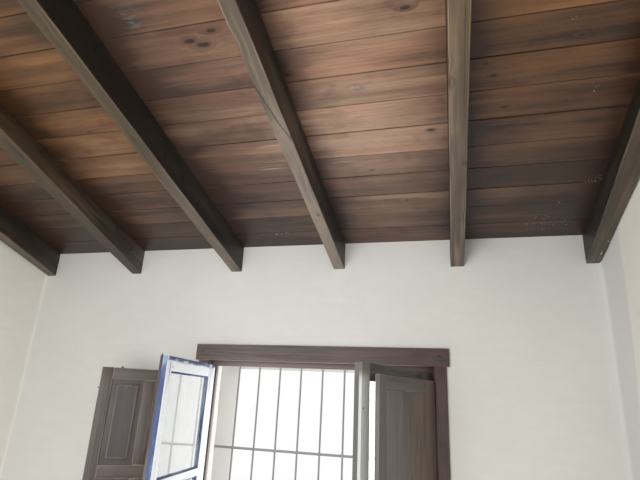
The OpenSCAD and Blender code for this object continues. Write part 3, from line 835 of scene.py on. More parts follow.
# %% [markdown]
# The ceiling boards lie across the beams, each bevelled on its two lower edges so that two of
# them meet in a V. A single wide plank with grooves would be quicker, but real boards differ in
# width by a few millimetres, cup a little, and leave joints of uneven width, and that is what
# makes the lines lively. Each row is two boards butted over a beam.

# %% The ceiling boards
BOARD_T = 0.022
BEVEL = 0.0024
TIGHT_GAP, OPEN_GAP, EDGE_WANDER = 0.0003, 0.0012, 0.0012
# The boards' widths in millimetres, up the slope from the wall and down it to the eaves.
ROWS_UP_FROM_WALL = (151, 158, 146, 155, 145, 155, 150, 148, 145, 152, 149, 155, 150, 152, 148, 150)
ROWS_OUT_FROM_WALL = (151, 150, 152, 149, 151)
# Each row's tone, up the slope from the wall. The rows nearest the wall are darker with painted shade.
TONE_AND_SHADE_UP_FROM_WALL = (-0.17, -0.12, -0.06, -0.07, -0.02, 0.02, 0.00, 0.02, -0.02, 0.06, 0.02, 0.00,
                      0.03, -0.03, 0.00, -0.02)
STATION = 0.04
# How grimy a board is at each point of its section, where its joints stand open.
JOINT_WEAR = (1.0, 0.45, 0.0, 0.0, 0.0, 0.45, 1.0, 1.0, 1.0)
# Spots of painted sheen, which make the boards paler, and of painted shade, which make them duller: by how
# much, then x and its reach, y and its reach.
SHEEN_AND_SHADE_SPOTS = ((0.08, 0.62, 0.50, -0.35, 0.40), (0.10, -0.60, 0.35, -0.15, 0.45),
                  (0.17, 1.30, 0.35, -0.95, 0.40), (-0.13, -0.30, 0.40, -1.00, 0.40),
                  (-0.05, 1.35, 0.35, 0.05, 0.30))
# How open each joint is, row by row: some have shrunk apart and some are tight.
OPEN_JOINTS = (0.5, 0.9, 0.35, 0.6, 1.0, 0.4, 0.8, 0.3, 0.9, 0.5, 1.0, 0.35, 0.7, 0.9, 0.3, 0.6, 0.45)


def row_edges():
    """The joints between the rows, down the slope from the wall's inner face."""
    edges, place = [0.0], 0.0
    for width in ROWS_UP_FROM_WALL:
        place -= width / 1000
        edges.insert(0, place)
    place = 0.0
    for width in ROWS_OUT_FROM_WALL:
        place += width / 1000
        edges.append(place)
    return edges


def board_ring(x, low_edge, high_edge, wander, cup, open_joints):
    """One section of a board, wandering a little in width and cupped in the middle."""
    a, b = low_edge + wander[0], high_edge + wander[1]
    mid = (a + b) / 2
    at_a, at_b = [BEVEL * (0.35 + 0.65 * how_open) for how_open in open_joints]
    outline = [(a, at_a), (a + at_a, 0.0), (a + 2 * at_a, 0.0), (mid, cup), (b - 2 * at_b, 0.0),
               (b - at_b, 0.0), (b, at_b), (b, BOARD_T), (a, BOARD_T)]
    return [on_slope(x, min(max(s, plumb_cut(OPEN_Y, n)), plumb_cut(EAVES_Y, n)), n) for s, n in outline]


def sheen_and_shade_level(x, y):
    """Painted sheen over the middle of the room, where the window's light shines off the boards, less a
    little painted shade elsewhere.
    """
    level = 0.20 * math.exp(-((x - 0.62) / 0.50) ** 2) - 0.13
    for amount, spot_x, reach_x, spot_y, reach_y in SHEEN_AND_SHADE_SPOTS:
        level += amount * math.exp(-((x - spot_x) / reach_x) ** 2 - ((y - spot_y) / reach_y) ** 2)
    return level


def shade_and_soot_by_beams(x, y):
    """Painted shade beside the beams, with some soot: darker along their right sides than their left."""
    tone_and_shade = 0.0
    for beam in BEAMS:
        ring = ring_at(beam, y)
        right, left = x - ring[2].x, ring[1].x - x
        patchy = 0.6 + 0.7 * noise.noise(Vector((x * 2, y * 3.5, hash_of(beam))))
        if right > -0.02:
            tone_and_shade += 0.46 * patchy * math.exp(-max(right, 0) / 0.075)
        elif left > -0.02:
            tone_and_shade += 0.10 * patchy * math.exp(-max(left, 0) / 0.06)
    return tone_and_shade


def lay_board(bench, x0, x1, edge0, edge1, tone_and_shade, open_joints):
    """One board from x0 to x1, between two joints, each of which is open by a share."""
    seed = bench.chance.uniform(0, 90)
    gap = TIGHT_GAP + OPEN_GAP * sum(open_joints) / 2
    # Points 0 to 3 of a section lie by the first joint, 4 to 6 by the second, the rest on top.
    grime = [k * open_joints[0 if n < 4 else 1] if n < 7 else 1.0 for n, k in enumerate(JOINT_WEAR)]
    cup = bench.chance.uniform(-0.0006, 0.0012)
    rings, tones = [], []
    mid_y = on_slope(0, (edge0 + edge1) / 2, 0).y
    for x in evenly(x0, x1, STATION):
        # Each station's tone adds the painted sheen and takes off the painted shade beside the beams.
        tones.append(tone_and_shade + sheen_and_shade_level(x, mid_y) - shade_and_soot_by_beams(x, mid_y))
        wander = [gap + EDGE_WANDER * noise.noise(Vector((x * 1.5, seed, 0))),
                  -gap + EDGE_WANDER * noise.noise(Vector((x * 1.5, seed, 7)))]
        rings.append(board_ring(x, edge0, edge1, wander, max(cup, 0), open_joints))
    bench.skin(rings, Vector((1, 0, 0)), tones, [grime] * len(rings))


def lay_ceiling():
    bench = Bench(11)
    edges = row_edges()
    butts = [sum(ring_at(b, INNER_Y)[k].x for k in (1, 2)) / 2 for b in list(BEAMS)[1:-1]]
    first_row_in = len(ROWS_UP_FROM_WALL)
    for row, (a, b) in enumerate(zip(edges, edges[1:])):
        if b < plumb_cut(OPEN_Y, 0) + 0.01 or a > plumb_cut(EAVES_Y, BOARD_T) - 0.01:
            continue
        steps_from_wall = first_row_in - 1 - row
        tone_and_shade = TONE_AND_SHADE_UP_FROM_WALL[steps_from_wall] if 0 <= steps_from_wall < first_row_in else -0.05
        butt = butts[(3 * row + 1) % len(butts)]
        open_joints = [OPEN_JOINTS[(row + k) % len(OPEN_JOINTS)] for k in (0, 1)]
        for x0, x1 in ((-HALF_OUT, butt - 0.0008), (butt + 0.0008, HALF_OUT)):
            lay_board(bench, x0, x1, a, b, tone_and_shade + bench.chance.uniform(-0.03, 0.03), open_joints)
    return bench.piece("boards")


dress(lay_ceiling(), BOARD_FINISH, "board_wood", "ceiling_boards")

# %% [markdown]
# The beams were squared by hand and stained almost black. Their undersides read greyer than their
# sides, partly from dust and partly as painted light from below, and their lower arrises are rubbed.
# Two materials could tell them apart, but would meet in a hard line at the arris. The finish
# looks at which way a face points instead: that is a fact of the surface, and it holds from any
# view. Knots, one long shake and smears of lime are listed one by one, as on the boards.

# %% The beam finish
BEAM_DARK, BEAM_BROWN, BEAM_GREY = (0.011, 0.009, 0.007), (0.038, 0.031, 0.025), (0.120, 0.100, 0.080)
BEAM_WORN = (0.17, 0.130, 0.092)
BEAM_DUST_AND_LIGHT = (0.112, 0.096, 0.078)
SHAKE_DARK = (0.012, 0.010, 0.008)
# A knot here is (beam, face, pixel, radius).
BEAM_KNOTS_SEEN = (
    ("beam_3", "right", (96, 49), 0.012), ("beam_3", "right", (145, 128), 0.009),
    ("beam_3", "right", (165, 156), 0.012), ("beam_3", "right", (183, 180), 0.009),
    ("beam_3", "right", (198, 208), 0.008), ("beam_4", "under", (318.5, 215), 0.008),
    ("beam_4", "right", (263, 45), 0.011), ("beam_4", "right", (300, 128), 0.008),
    ("beam_5", "under", (449, 83), 0.014), ("beam_5", "under", (465, 163), 0.013),
    ("beam_5", "under", (460, 220), 0.011))
# More of them, given as (x, y, z) and radius.
OTHER_BEAM_KNOTS = (((-0.965, 0.415, 2.54), 0.009), ((-0.93, -0.6, 2.72), 0.012),
                    ((1.64, -0.045, 2.525), 0.012), ((1.60, -0.7, 2.75), 0.012))
# A long curved shake shows on the underside of the fourth beam, from pixel to pixel.
SHAKE_SEEN = ((248, 77), (254, 86), (261.5, 97.5), (270, 110), (275, 118), (280, 125), (286, 133),
              (292, 140))
SHAKE_HALF_W, SHAKE_HALF_L = 0.0024, 0.022
LIME_SMEARS = (((1.715, 0.65, 2.355), (0.016, 0.08, 0.03)), ((1.722, 0.52, 2.385), (0.014, 0.10, 0.03)),
               ((1.700, 0.715, 2.340), (0.035, 0.030, 0.02)), ((1.655, 0.72, 2.36), (0.010, 0.03, 0.05)))


def on_beam(beam, face, pixel):
    """Where a beam's underside, or the side that faces right, shows at a pixel."""
    at_wall, at_open = ring_at(beam, INNER_Y)[3], ring_at(beam, OPEN_Y)[3]
    across = Vector((1, 0, 0)) if face == "under" else Vector((0, 0, 1))
    return seen_at(pixel, at_wall, (at_open - at_wall).cross(across))


def shake_marks():
    """Short narrow marks set end to end along the shake."""
    path = [on_beam("beam_4", "under", pixel) for pixel in SHAKE_SEEN]
    marks = []
    for a, b in zip(path, path[1:]):
        for t in (0.25, 0.75):
            middle = a.lerp(b, t)
            marks.append(((middle.x, middle.y, 0.0), (SHAKE_HALF_W, SHAKE_HALF_L, ANY_HEIGHT)))
    return marks


def beam_finish():
    places = [(on_beam(*seen), r) for *seen, r in BEAM_KNOTS_SEEN] + list(OTHER_BEAM_KNOTS)
    knots = [(tuple(place), (0.9 * r, 1.4 * r, 1.9 * r)) for place, r in places]
    p, colour = wood("stained_beams", BEAM_DARK, BEAM_BROWN, BEAM_GREY, BEAM_WORN, gloss=0.50,
                     fineness=0.9, knots=0.6, relief=0.0016, checks=0.9, marks=knots, contrast=1.25)
    where = p.place()
    facing = p.add("SeparateXYZ", p.add("NewGeometry").outputs["Normal"]).outputs["Z"]
    # Painted light: the undersides, which face the light from below, are made lighter and greyer, together
    # with their dust.
    under = p.span(facing, -0.55, -0.90)
    how_dusty_and_lit = p.span(p.noted("tone"), -0.65, 0.35, 0.08, 0.58)
    dusty_and_lit = p.mix(how_dusty_and_lit, p.mix(1.0, colour, (3.4, 3.3, 3.15), "MULTIPLY"), BEAM_DUST_AND_LIGHT)
    colour = p.mix(p.times(under, 0.80), colour, dusty_and_lit)
    shake = p.times(p.span(p.nearness(where, shake_marks()), 1.1, 0.6), under)
    colour = p.mix(p.times(shake, 0.85), colour, SHAKE_DARK)
    # Painted reflection on the beams too, as on the boards.
    colour = tinted_by_window_sheen(p, colour, (1.10, 0.85, 0.48), (1.0, 0.97, 0.97))
    smear = p.times(p.span(p.nearness(where, LIME_SMEARS), 1.0, 0.4),
                    p.span(p.noise(p.stretch(where, 60.0, 25.0, 60.0), 1.0, 4.0, 0.7), 0.52, 0.60))
    p.set(base_color=p.mix(p.times(smear, 0.85), colour, shade(LIMEWASH, 0.85)))
    return p.material


BEAM_FINISH = beam_finish()
print("finish:", BEAM_FINISH.name)

# %% [markdown]
# A hewn beam is a box that was never quite finished: flat facets from the adze, arrises that
# wander between sharp and round, and here and there a bite. Each beam is drawn ring by ring
# between the measured sections. The bites are listed: where along the beam they are,
# which lower arris they take, how long and how deep.

# %% Hew the beams
RING_STEP = 0.024
SIDE_POINTS = 8
# How light each beam is: its sides and its underside at the open end, then both at the wall. Besides the
# own tone, these hold painted light and shade.
BEAM_TONE_AND_LIGHT = {"beam_1": ((-0.08, -0.02), (-0.02, 0.04)), "beam_2": ((0.04, -0.38), (0.12, -0.24)),
             "beam_3": ((-0.40, -0.52), (-0.14, 0.20)), "beam_4": ((-0.02, -0.16), (-0.08, 0.40)),
             "beam_5": ((-0.06, 0.00), (-0.16, -0.06)), "beam_6": ((-0.20, -0.04), (-0.22, -0.22))}
WORN_ARRIS = {"beam_1": 0.15, "beam_2": 0.2, "beam_3": 0.25, "beam_4": 0.6, "beam_5": 0.8, "beam_6": 0.3}
BITES = {
    "beam_1": [(-0.47, "right", 0.045, 0.016)],
    "beam_2": [(-0.72, "right", 0.050, 0.020)],
    "beam_4": [(-1.50, "left", 0.10, 0.013), (-1.02, "left", 0.07, 0.006), (-0.52, "right", 0.06, 0.006)],
    "beam_5": [(-1.33, "left", 0.05, 0.010), (-0.46, "right", 0.03, 0.006)],
    "beam_6": [(-0.62, "left", 0.06, 0.008)],
}


def arris_radius(beam, corner, y):
    """How rounded a corner is at a place along the beam."""
    wander = noise.noise(Vector((y * 1.3, corner * 7.7, hash_of(beam))))
    radius = (0.0065 + 0.005 * wander) if corner in (0, 3) else 0.002
    for place, side, length, depth in BITES.get(beam, []):
        if corner == (0 if side == "left" else 3):
            radius += depth * math.exp(-((y - INNER_Y - place) / length) ** 2 * 4)
    return max(radius, 0.0015)


def beam_tones(beam, y):
    """How light a beam's sides and its underside are at a place along it: own tone and painted light
    together.
    """
    t = min(max((y + 1.1) / 1.8, 0), 1)
    at_open, at_wall = BEAM_TONE_AND_LIGHT[beam]
    return [a + (b - a) * t for a, b in zip(at_open, at_wall)]


def beam_ring(beam, y):
    """A section with rounded corners and worked faces. With it come how worn and how light each
    of its points is."""
    corners = ring_at(beam, y)
    side_tone, under_tone = beam_tones(beam, y)
    ring, wear, tone = [], [], []
    for k, corner in enumerate(corners):
        before, after = corners[k - 1], corners[(k + 1) % 4]
        radius = arris_radius(beam, k, y)
        start = corner + (before - corner).normalized() * radius
        end = corner + (after - corner).normalized() * radius
        for t in (0.0, 0.25, 0.5, 0.75, 1.0):
            ring.append(start.lerp(corner, t).lerp(corner.lerp(end, t), t))
            patchy = 0.65 + 0.9 * noise.noise(Vector((y * 5, k * 3.3, hash_of(beam))))
            wear.append(WORN_ARRIS[beam] * min(max(patchy, 0), 1) if k in (0, 3) and 0 < t < 1 else 0.0)
            underneath = t if k == 3 else 1 - t if k == 0 else 0.0
            tone.append(side_tone + (under_tone - side_tone) * underneath)
        stop = after + (corner - after).normalized() * arris_radius(beam, (k + 1) % 4, y)
        for j in range(1, SIDE_POINTS):
            ring.append(end.lerp(stop, j / SIDE_POINTS))
            rubbed = noise.noise(Vector((y * 2.6, j * 0.35, hash_of(beam) + 4)))
            wear.append(0.9 * WORN_ARRIS[beam] * max(rubbed, 0) if k == 3 else 0.0)
            tone.append(under_tone if k == 3 else side_tone)
    return ring, wear, tone


def hew(beam):
    bench = Bench(hash_of(beam))
    rings, wears, tones = [], [], []
    for y in evenly(OPEN_Y, EAVES_Y, RING_STEP):
        ring, wear, tone = beam_ring(beam, y)
        middle = sum(ring, Vector()) / len(ring)
        top = max(p.z for p in ring)
        worked = []
        for p in ring:
            facet = noise.noise(Vector((p.y * 5.0, p.x * 14.0, p.z * 14.0 + hash_of(beam))))
            tooth = noise.noise(Vector((p.y * 24.0, p.x * 60.0, p.z * 60.0)))
            inwards = (middle - p).normalized()
            keep = 0.0 if p.z > top - 0.004 else 1.0
            worked.append(p + inwards * keep * (0.0016 * facet + 0.0005 * tooth + 0.0006))
        for p in worked:
            p.y = y
        rings.append(worked)
        wears.append(wear)
        tones.append(tone)
    along = (sum(rings[-1], Vector()) - sum(rings[0], Vector())).normalized()
    bench.skin(rings, along, tones, wears)
    return bench.piece("hewn_" + beam)


for beam in BEAMS:
    dress(hew(beam), BEAM_FINISH, "beam_wood", beam)

# %% [markdown]
# Over the boards lies a bed of earth and lime, about 40 mm thick, and on it the clay tiles. The
# bed shows only at its edges, where it was struck off with a board and has crumbled a little.
# It is a slab in one skin again, ruled across and down the slope, with a rough top and edges.

# %% The bed under the tiles
BED_TOP = (high("tile_bed").z - high("right_wall").z) * math.cos(PITCH)
BED_COLOUR = (0.30, 0.235, 0.165)
STRAW = (0.48, 0.38, 0.22)


def bed_finish():
    p = Palette("earth_and_lime", roughness=0.97)
    where = p.place()
    grit = p.noise(where, 60.0, 6.0, 0.7)
    patches = p.noise(where, 5.0, 4.0)
    tone = p.mix(p.span(patches, 0.35, 0.68), shade(BED_COLOUR, 0.80), shade(BED_COLOUR, 1.22))
    straw = p.noise(p.stretch(where, 25.0, 160.0, 160.0), 1.0, 2.0)
    tone = p.mix(p.times(p.span(straw, 0.66, 0.74), 0.5), tone, STRAW)
    p.set(base_color=tone, normal=p.bump(grit, 0.004))
    return p.material


def bed_outline(place):
    """The bed's section across the roof, as (x, above), with its crumbled top and edges."""
    thick = BED_TOP - BOARD_T
    top = [(x, BED_TOP - 0.0035 * abs(noise.noise(Vector((x * 9, place * 9, 2)))))
           for x in evenly(-HALF_OUT, HALF_OUT, 0.072)]
    edges = [(HALF_OUT - 0.004 * abs(noise.noise(Vector((n * 5, place * 22, 8)))), BOARD_T + n * thick)
             for n in (0.75, 0.5, 0.25, 0.0)]
    return top + edges + [(-x, n) for x, n in reversed(edges)]


def lay_bed():
    bench = Bench(5)
    rings = []
    for t in evenly(0, 1, 0.015):
        ring = []
        for x, n in bed_outline(t * 3):
            start, end = plumb_cut(OPEN_Y, n), plumb_cut(high("tile_bed").y, n)
            ring.append(on_slope(x, start + (end - start) * t, n))
        rings.append(ring)
    bench.skin(rings, DOWN_SLOPE)
    return bench.piece("bed")


dress(lay_bed(), bed_finish(), "tile_bed", "tile_bed")

# %% [markdown]
# Hand firing gives each tile a tone of its own, from straw to dark red, and the years add soot
# and lichen. A material for each tone would do, but one is enough: the bench notes a tone for
# each tile, and the finish adds clouds of noise to it before it picks the colour.

# %% The fired clay finish
# From the hardest fired to the palest, each with the level that it stands for.
CLAY_TONES = ((0.10, (0.215, 0.085, 0.042)), (0.36, (0.345, 0.150, 0.075)),
              (0.62, (0.455, 0.235, 0.125)), (0.85, (0.540, 0.345, 0.205)))
LICHEN, SOOT = (0.235, 0.225, 0.165), (0.10, 0.075, 0.06)


def clay_finish():
    p = Palette("fired_clay", roughness=0.88)
    where = p.place()
    tone = p.noted("tone")
    flame = p.noise(p.stretch(where, 3.0, 3.0, 3.0), 1.6, 4.0)
    mixed = p.sum(p.times(flame, 0.55), tone)
    colour = p.ramp(mixed, *CLAY_TONES)
    lichen = p.span(p.noise(where, 16.0, 5.0, 0.7), 0.60, 0.70)
    spread = p.span(p.noise(where, 2.1, 3.0), 0.42, 0.62)
    colour = p.mix(p.times(p.times(lichen, spread), 0.7), colour, LICHEN)
    soot = p.span(p.noise(where, 30.0, 4.0, 0.65), 0.62, 0.72)
    colour = p.mix(p.times(soot, 0.35), colour, SOOT)
    p.set(base_color=colour, normal=p.bump(p.noise(where, 90.0, 5.0, 0.65), 0.0022))
    return p.material


CLAY_FINISH = clay_finish()
print("finish:", CLAY_FINISH.name)

# %% [markdown]
# Barrel tiles are shaped over a tapered wooden former, so each one tapers. Channel tiles lie
# hollow up with the narrow end downhill, and cover tiles bridge them hollow down with the wide
# end downhill. Every tile slips over or under its neighbour by about the width of a hand.
# An Array modifier could copy one tile along a row, but a loop that draws each one anew lets
# each lean, narrow and lap a little differently.

# %% Lay the tiles, row by row
TILE_R = 0.088
TILE_T = 0.012
TILE_TAPER = 0.0125
TILE_LENGTH = 0.42
TILE_SHOWN = 0.335
TILE_ROWS = 20
COVER_LIFT = 0.060
ARC_STEPS = 12
LAST_ROW_X = high("cover_tiles").x - TILE_R


def lay_tile(bench, x, lower_end, centre, hollow_down):
    """One tapered tile, its section drawn from the outer face round to the inner one. A tile
    that meets the open edge ends there, plumb."""
    flip = 1 if hollow_down else -1
    lean = bench.chance.uniform(-0.004, 0.004)
    slim = bench.chance.uniform(0.0008, 0.0024)
    reach = high("cover_tiles").x - 0.0005
    rings = []
    for t in evenly(0, 1, 0.25):
        ring = []
        taper = TILE_TAPER * (t if hollow_down else 1 - t)
        outer = TILE_R - taper - slim + 0.0008 * noise.noise(Vector((x * 3, lower_end * 3, t * 4)))
        for radius, order in ((outer, 1), (outer - TILE_T, -1)):
            for k in range(ARC_STEPS + 1)[::order]:
                angle = math.pi * k / ARC_STEPS
                across = x + radius * math.cos(angle) + lean * (t - 0.5)
                above = centre + flip * radius * math.sin(angle)
                upper_end = max(lower_end - TILE_LENGTH, plumb_cut(OPEN_Y, above))
                place = lower_end + (upper_end - lower_end) * t
                ring.append(on_slope(max(-reach, min(reach, across)), place, above))
        rings.append(ring)
    bench.skin(rings, DOWN_SLOPE, bench.chance.gauss(0.14, 0.11))


def lay_rows(name, seed, xs, centre, hollow_down):
    bench = Bench(seed)
    eaves = plumb_cut(high("cover_tiles").y - 0.001, BED_TOP + COVER_LIFT + TILE_R)
    ridge = plumb_cut(OPEN_Y, 0) + 0.03
    for x in xs:
        lower_end = eaves - bench.chance.uniform(0, 0.012)
        while lower_end > ridge:
            lay_tile(bench, x, lower_end, centre, hollow_down)
            lower_end -= TILE_SHOWN + bench.chance.uniform(-0.006, 0.006)
    return bench.piece(name)


covers_x = evenly(-LAST_ROW_X, LAST_ROW_X, 2 * LAST_ROW_X / TILE_ROWS)
channels_x = [(a + b) / 2 for a, b in zip(covers_x, covers_x[1:])]
dress(lay_rows("channels", 21, channels_x, BED_TOP + TILE_R, False), CLAY_FINISH, "clay_tile",
      "channel_tiles")
dress(lay_rows("covers", 22, covers_x, BED_TOP + COVER_LIFT, True), CLAY_FINISH, "clay_tile",
      "cover_tiles")

# %% [markdown]
# The joinery is made of planed pieces, and a planed piece has crisp flat faces and arrises eased
# with one stroke of the plane. A Bevel modifier would ease a box, but it can't tell a rebate from
# an arris, and it can't say which points are rubbed. So each section is drawn once as a short
# outline, its corners are eased, and the result is pulled along the grain.

# %% Planed pieces
AXES = {"X": Vector((1, 0, 0)), "Z": Vector((0, 0, 1))}
FULL_WEAR_RADIUS = 0.0020


def eased(outline, radius, steps=3):
    """An outline with its corners eased, and how rubbed each of its points is. radius is one
    number, or a list with one for each corner. A wider arris is rubbed more."""
    radii = radius if isinstance(radius, list) else [radius] * len(outline)
    loop, rub = [], []
    for k, (corner, r) in enumerate(zip(outline, radii)):
        start = corner + (outline[k - 1] - corner).normalized() * r
        end = corner + (outline[(k + 1) % len(outline)] - corner).normalized() * r
        for i in range(steps + 1):
            t = i / steps
            loop.append(start.lerp(corner, t).lerp(corner.lerp(end, t), t))
            rub.append(min(1.0, r / FULL_WEAR_RADIUS) if 0 < i < steps else 0.08)
    return loop, rub


def planed(bench, outline, axis, start, end, radius=0.0015, tone=0.0, wander=0.0003):
    """Pulls an outline along X or Z. Across the grain it is given as (x, y) for a piece that
    stands along Z, and as (y, z) for one that lies along X."""
    loop, rub = eased([Vector(p) for p in outline], radius)
    radius = max(radius) if isinstance(radius, list) else radius
    centre = sum(loop, Vector((0, 0))) / len(loop)
    stations = [start] + evenly(start + radius, end - radius, 0.12) + [end]
    seed = bench.chance.uniform(0, 90)
    rings, wears = [], []
    for number, s in enumerate(stations):
        at_end = number in (0, len(stations) - 1)
        drift = Vector([noise.noise(Vector((s * 4, seed, layer))) for layer in (0, 5)]) * wander
        ring = []
        for p in loop:
            q = p + drift - ((p - centre).normalized() * radius * 0.7 if at_end else Vector((0, 0)))
            ring.append(Vector((s, q.x, q.y)) if axis == "X" else Vector((q.x, q.y, s)))
        rings.append(ring)
        wears.append([max(r, 0.8) if at_end else r for r in rub])
    bench.skin(rings, AXES[axis], tone, wears)


def rectangle(x0, x1, y0, y1):
    return [(x0, y0), (x1, y0), (x1, y1), (x0, y1)]


print("planed pieces can be drawn")

# %% [markdown]
# The window's frame stands a little proud of the plaster. Its head board is one broad plank with
# horns past the jambs, held by a bolt on the right. Its stain is a cool purplish brown on the
# left and turns redder to the right, so the finish reads how far along X a point lies.
# The leaves shut against stops behind the face. A Boolean could cut them out of the same stick,
# but a second, thinner piece shows the same and keeps its own eased arris.

# %% The window's frame
JAMB_W = 0.062
STOP_W, STOP_D, HEAD_STOP_H = 0.029, 0.024, 0.028
# The stops are made paler, painted light that stands for the daylight falling on them from the window.
DAYLIT_STOP_TONE = 0.30
FRAME_WOOD_DARK, FRAME_WOOD = (0.036, 0.026, 0.025), (0.112, 0.086, 0.082)
FRAME_WOOD_PALE, FRAME_WORN = (0.190, 0.150, 0.144), (0.40, 0.30, 0.25)
# What the stain is multiplied by at its reddest.
TURNED_RED = (0.50, 0.35, 0.30)
# Here each knot is a mark: its middle, and its half lengths along X, Y and Z.
JAMB_KNOTS = (((0.903, 0.717, 1.425), (0.007, 0.030, 0.010)),
              ((0.922, 0.717, 1.428), (0.005, 0.030, 0.007)),
              ((-0.455, 0.717, 1.848), (0.010, 0.030, 0.004)))


def frame_finish():
    p, colour = wood("frame_wood", FRAME_WOOD_DARK, FRAME_WOOD, FRAME_WOOD_PALE, FRAME_WORN,
                     gloss=0.58, fineness=1.2, knots=0.6, relief=0.0007, marks=JAMB_KNOTS)
    across = p.add("SeparateXYZ", p.place()).outputs["X"]
    redder = p.span(across, -0.3, 0.9)
    p.set(base_color=p.mix(redder, colour, TURNED_RED, "MULTIPLY"))
    return p.material


FRAME_FINISH = frame_finish()
FRAME_FACE = FRAME_LOW.y
STOP_FACE = FRAME_BACK - STOP_D
OPENING_L, OPENING_R = FRAME_L + JAMB_W, FRAME_R - JAMB_W
SILL_TOP, HEAD_FOOT = low("left_jamb").z, high("left_jamb").z
STICK_ARRIS, SILL_ARRIS = 0.003, 0.004

head = Bench(31)
planed(head, rectangle(FRAME_FACE, FRAME_BACK, HEAD_FOOT, FRAME_HIGH.z), "X", HEAD_L, HEAD_R,
       STICK_ARRIS, tone=-0.02, wander=0.0010)
planed(head, rectangle(STOP_FACE, FRAME_BACK, HEAD_FOOT - HEAD_STOP_H, HEAD_FOOT), "X",
       OPENING_L, OPENING_R, tone=DAYLIT_STOP_TONE)
dress(head.piece("head"), FRAME_FINISH, "frame_wood", "head_board")

for side, outer, inner, name in (("left", FRAME_L, OPENING_L, "left_jamb"),
                                 ("right", FRAME_R, OPENING_R, "right_jamb")):
    jamb = Bench(32 + len(side))
    stop = inner + STOP_W if side == "left" else inner - STOP_W
    planed(jamb, rectangle(min(outer, inner), max(outer, inner), FRAME_FACE, FRAME_BACK), "Z",
           SILL_TOP, HEAD_FOOT, STICK_ARRIS)
    planed(jamb, rectangle(min(stop, inner), max(stop, inner), STOP_FACE, FRAME_BACK), "Z",
           SILL_TOP, HEAD_FOOT - HEAD_STOP_H, tone=DAYLIT_STOP_TONE)
    dress(jamb.piece(side + "_post"), FRAME_FINISH, "frame_wood", name)

sill = Bench(34)
planed(sill, rectangle(FRAME_FACE, FRAME_BACK, FRAME_LOW.z, SILL_TOP), "X", FRAME_L, FRAME_R,
       SILL_ARRIS, tone=0.02)
dress(sill.piece("sill"), FRAME_FINISH, "frame_wood", "sill_rail")

# %% [markdown]
# A casement is easiest to make shut and flat on the bench, in its own axes: x along the leaf from
# its hinge, y from its room face through it, z up. One matrix then swings it open. The right leaf
# is the same joinery mirrored. The matrices are worked out once here, for the shutters too, since
# a shutter hangs on its casement and swings with it.

# %% Where the leaves hang
SIDES = ("left", "right")
LEFT_OPEN, RIGHT_OPEN = math.radians(84), math.radians(64)
LEFT_SHUTTER_OPEN, RIGHT_SHUTTER_OPEN = math.radians(62), math.radians(3)
# A casement's hinge is placed in the room, and a shutter's on its own casement.
LEFT_HINGE = Vector((OPENING_L + 0.002, INNER_Y - 0.004, 0))
RIGHT_HINGE = Vector((OPENING_R - 0.013, INNER_Y, 0))
LEFT_SHUTTER_HINGE = Vector((0.0445, -0.011, 0))
RIGHT_SHUTTER_HINGE = Vector((0.034, -0.030, 0))
MIRROR = Matrix.Scale(-1, 4, (1, 0, 0))


def swung(hinge, angle):
    """The axes of a leaf that stands open by an angle at a hinge, where the hinge is a matrix."""
    return hinge @ Matrix.Rotation(-angle, 4, "Z")


swing = {
    "left": swung(Matrix.Translation(LEFT_HINGE), LEFT_OPEN),
    "right": swung(Matrix.Translation(RIGHT_HINGE) @ MIRROR, RIGHT_OPEN),
}
shutter_swing = {
    "left": swung(swing["left"] @ Matrix.Translation(LEFT_SHUTTER_HINGE), LEFT_SHUTTER_OPEN),
    "right": swung(swing["right"] @ Matrix.Translation(RIGHT_SHUTTER_HINGE), RIGHT_SHUTTER_OPEN),
}


def own_box(node, placed):
    """A measured node's box in the axes of the leaf that it belongs to."""
    back = placed.inverted()
    corners = [back @ vertex.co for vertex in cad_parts[node].data.vertices]
    return [Vector([pick(c[k] for c in corners) for k in range(3)]) for pick in (min, max)]


for side in SIDES:
    corners = own_box(side + "_leaf_stiles", swing[side])
    print(side, "leaf", [[round(v, 4) for v in corner] for corner in corners])

# %% [markdown]
# The casements are brown on the room side and blue outside. Years of sun and rain have washed the
# blue off the outer face almost to white, except along the very top and in the rebates, and the
# white is made brighter still as painted daylight glare. On the right leaf a painted glare greys
# the free stile, and a painted shade keeps it dark just under the head board. Two paints on one leaf
# could be two materials, but then the border would follow the mesh. Here the bench's depth note
# decides, so the brush line runs where it likes, 15 mm in from the room face.

# %% The casements' paint
BLUE, CHALKED_BLUE = (0.050, 0.073, 0.172), (0.26, 0.33, 0.48)
WASHED_OUT_AND_GLARE, BARE_WOOD = (0.80, 0.83, 0.87), (0.50, 0.45, 0.38)
CASEMENT_BROWN, WORN_BROWN = (0.050, 0.040, 0.036), (0.160, 0.142, 0.128)
RUBBED_BROWN = (0.23, 0.20, 0.16)
# Painted glare on the right leaf: its grey for the room side and for the outer edge.
GLARE_GREY, GLARE_GREY_EDGE = (0.560, 0.575, 0.560), (0.112, 0.112, 0.104)
# How deep the brown reaches, and how far down from the leaf's top the blue band and the painted shade
# reach.
BRUSH_LINE = 0.015
BLUE_BAND = 0.019
HEAD_SHADE = 0.085


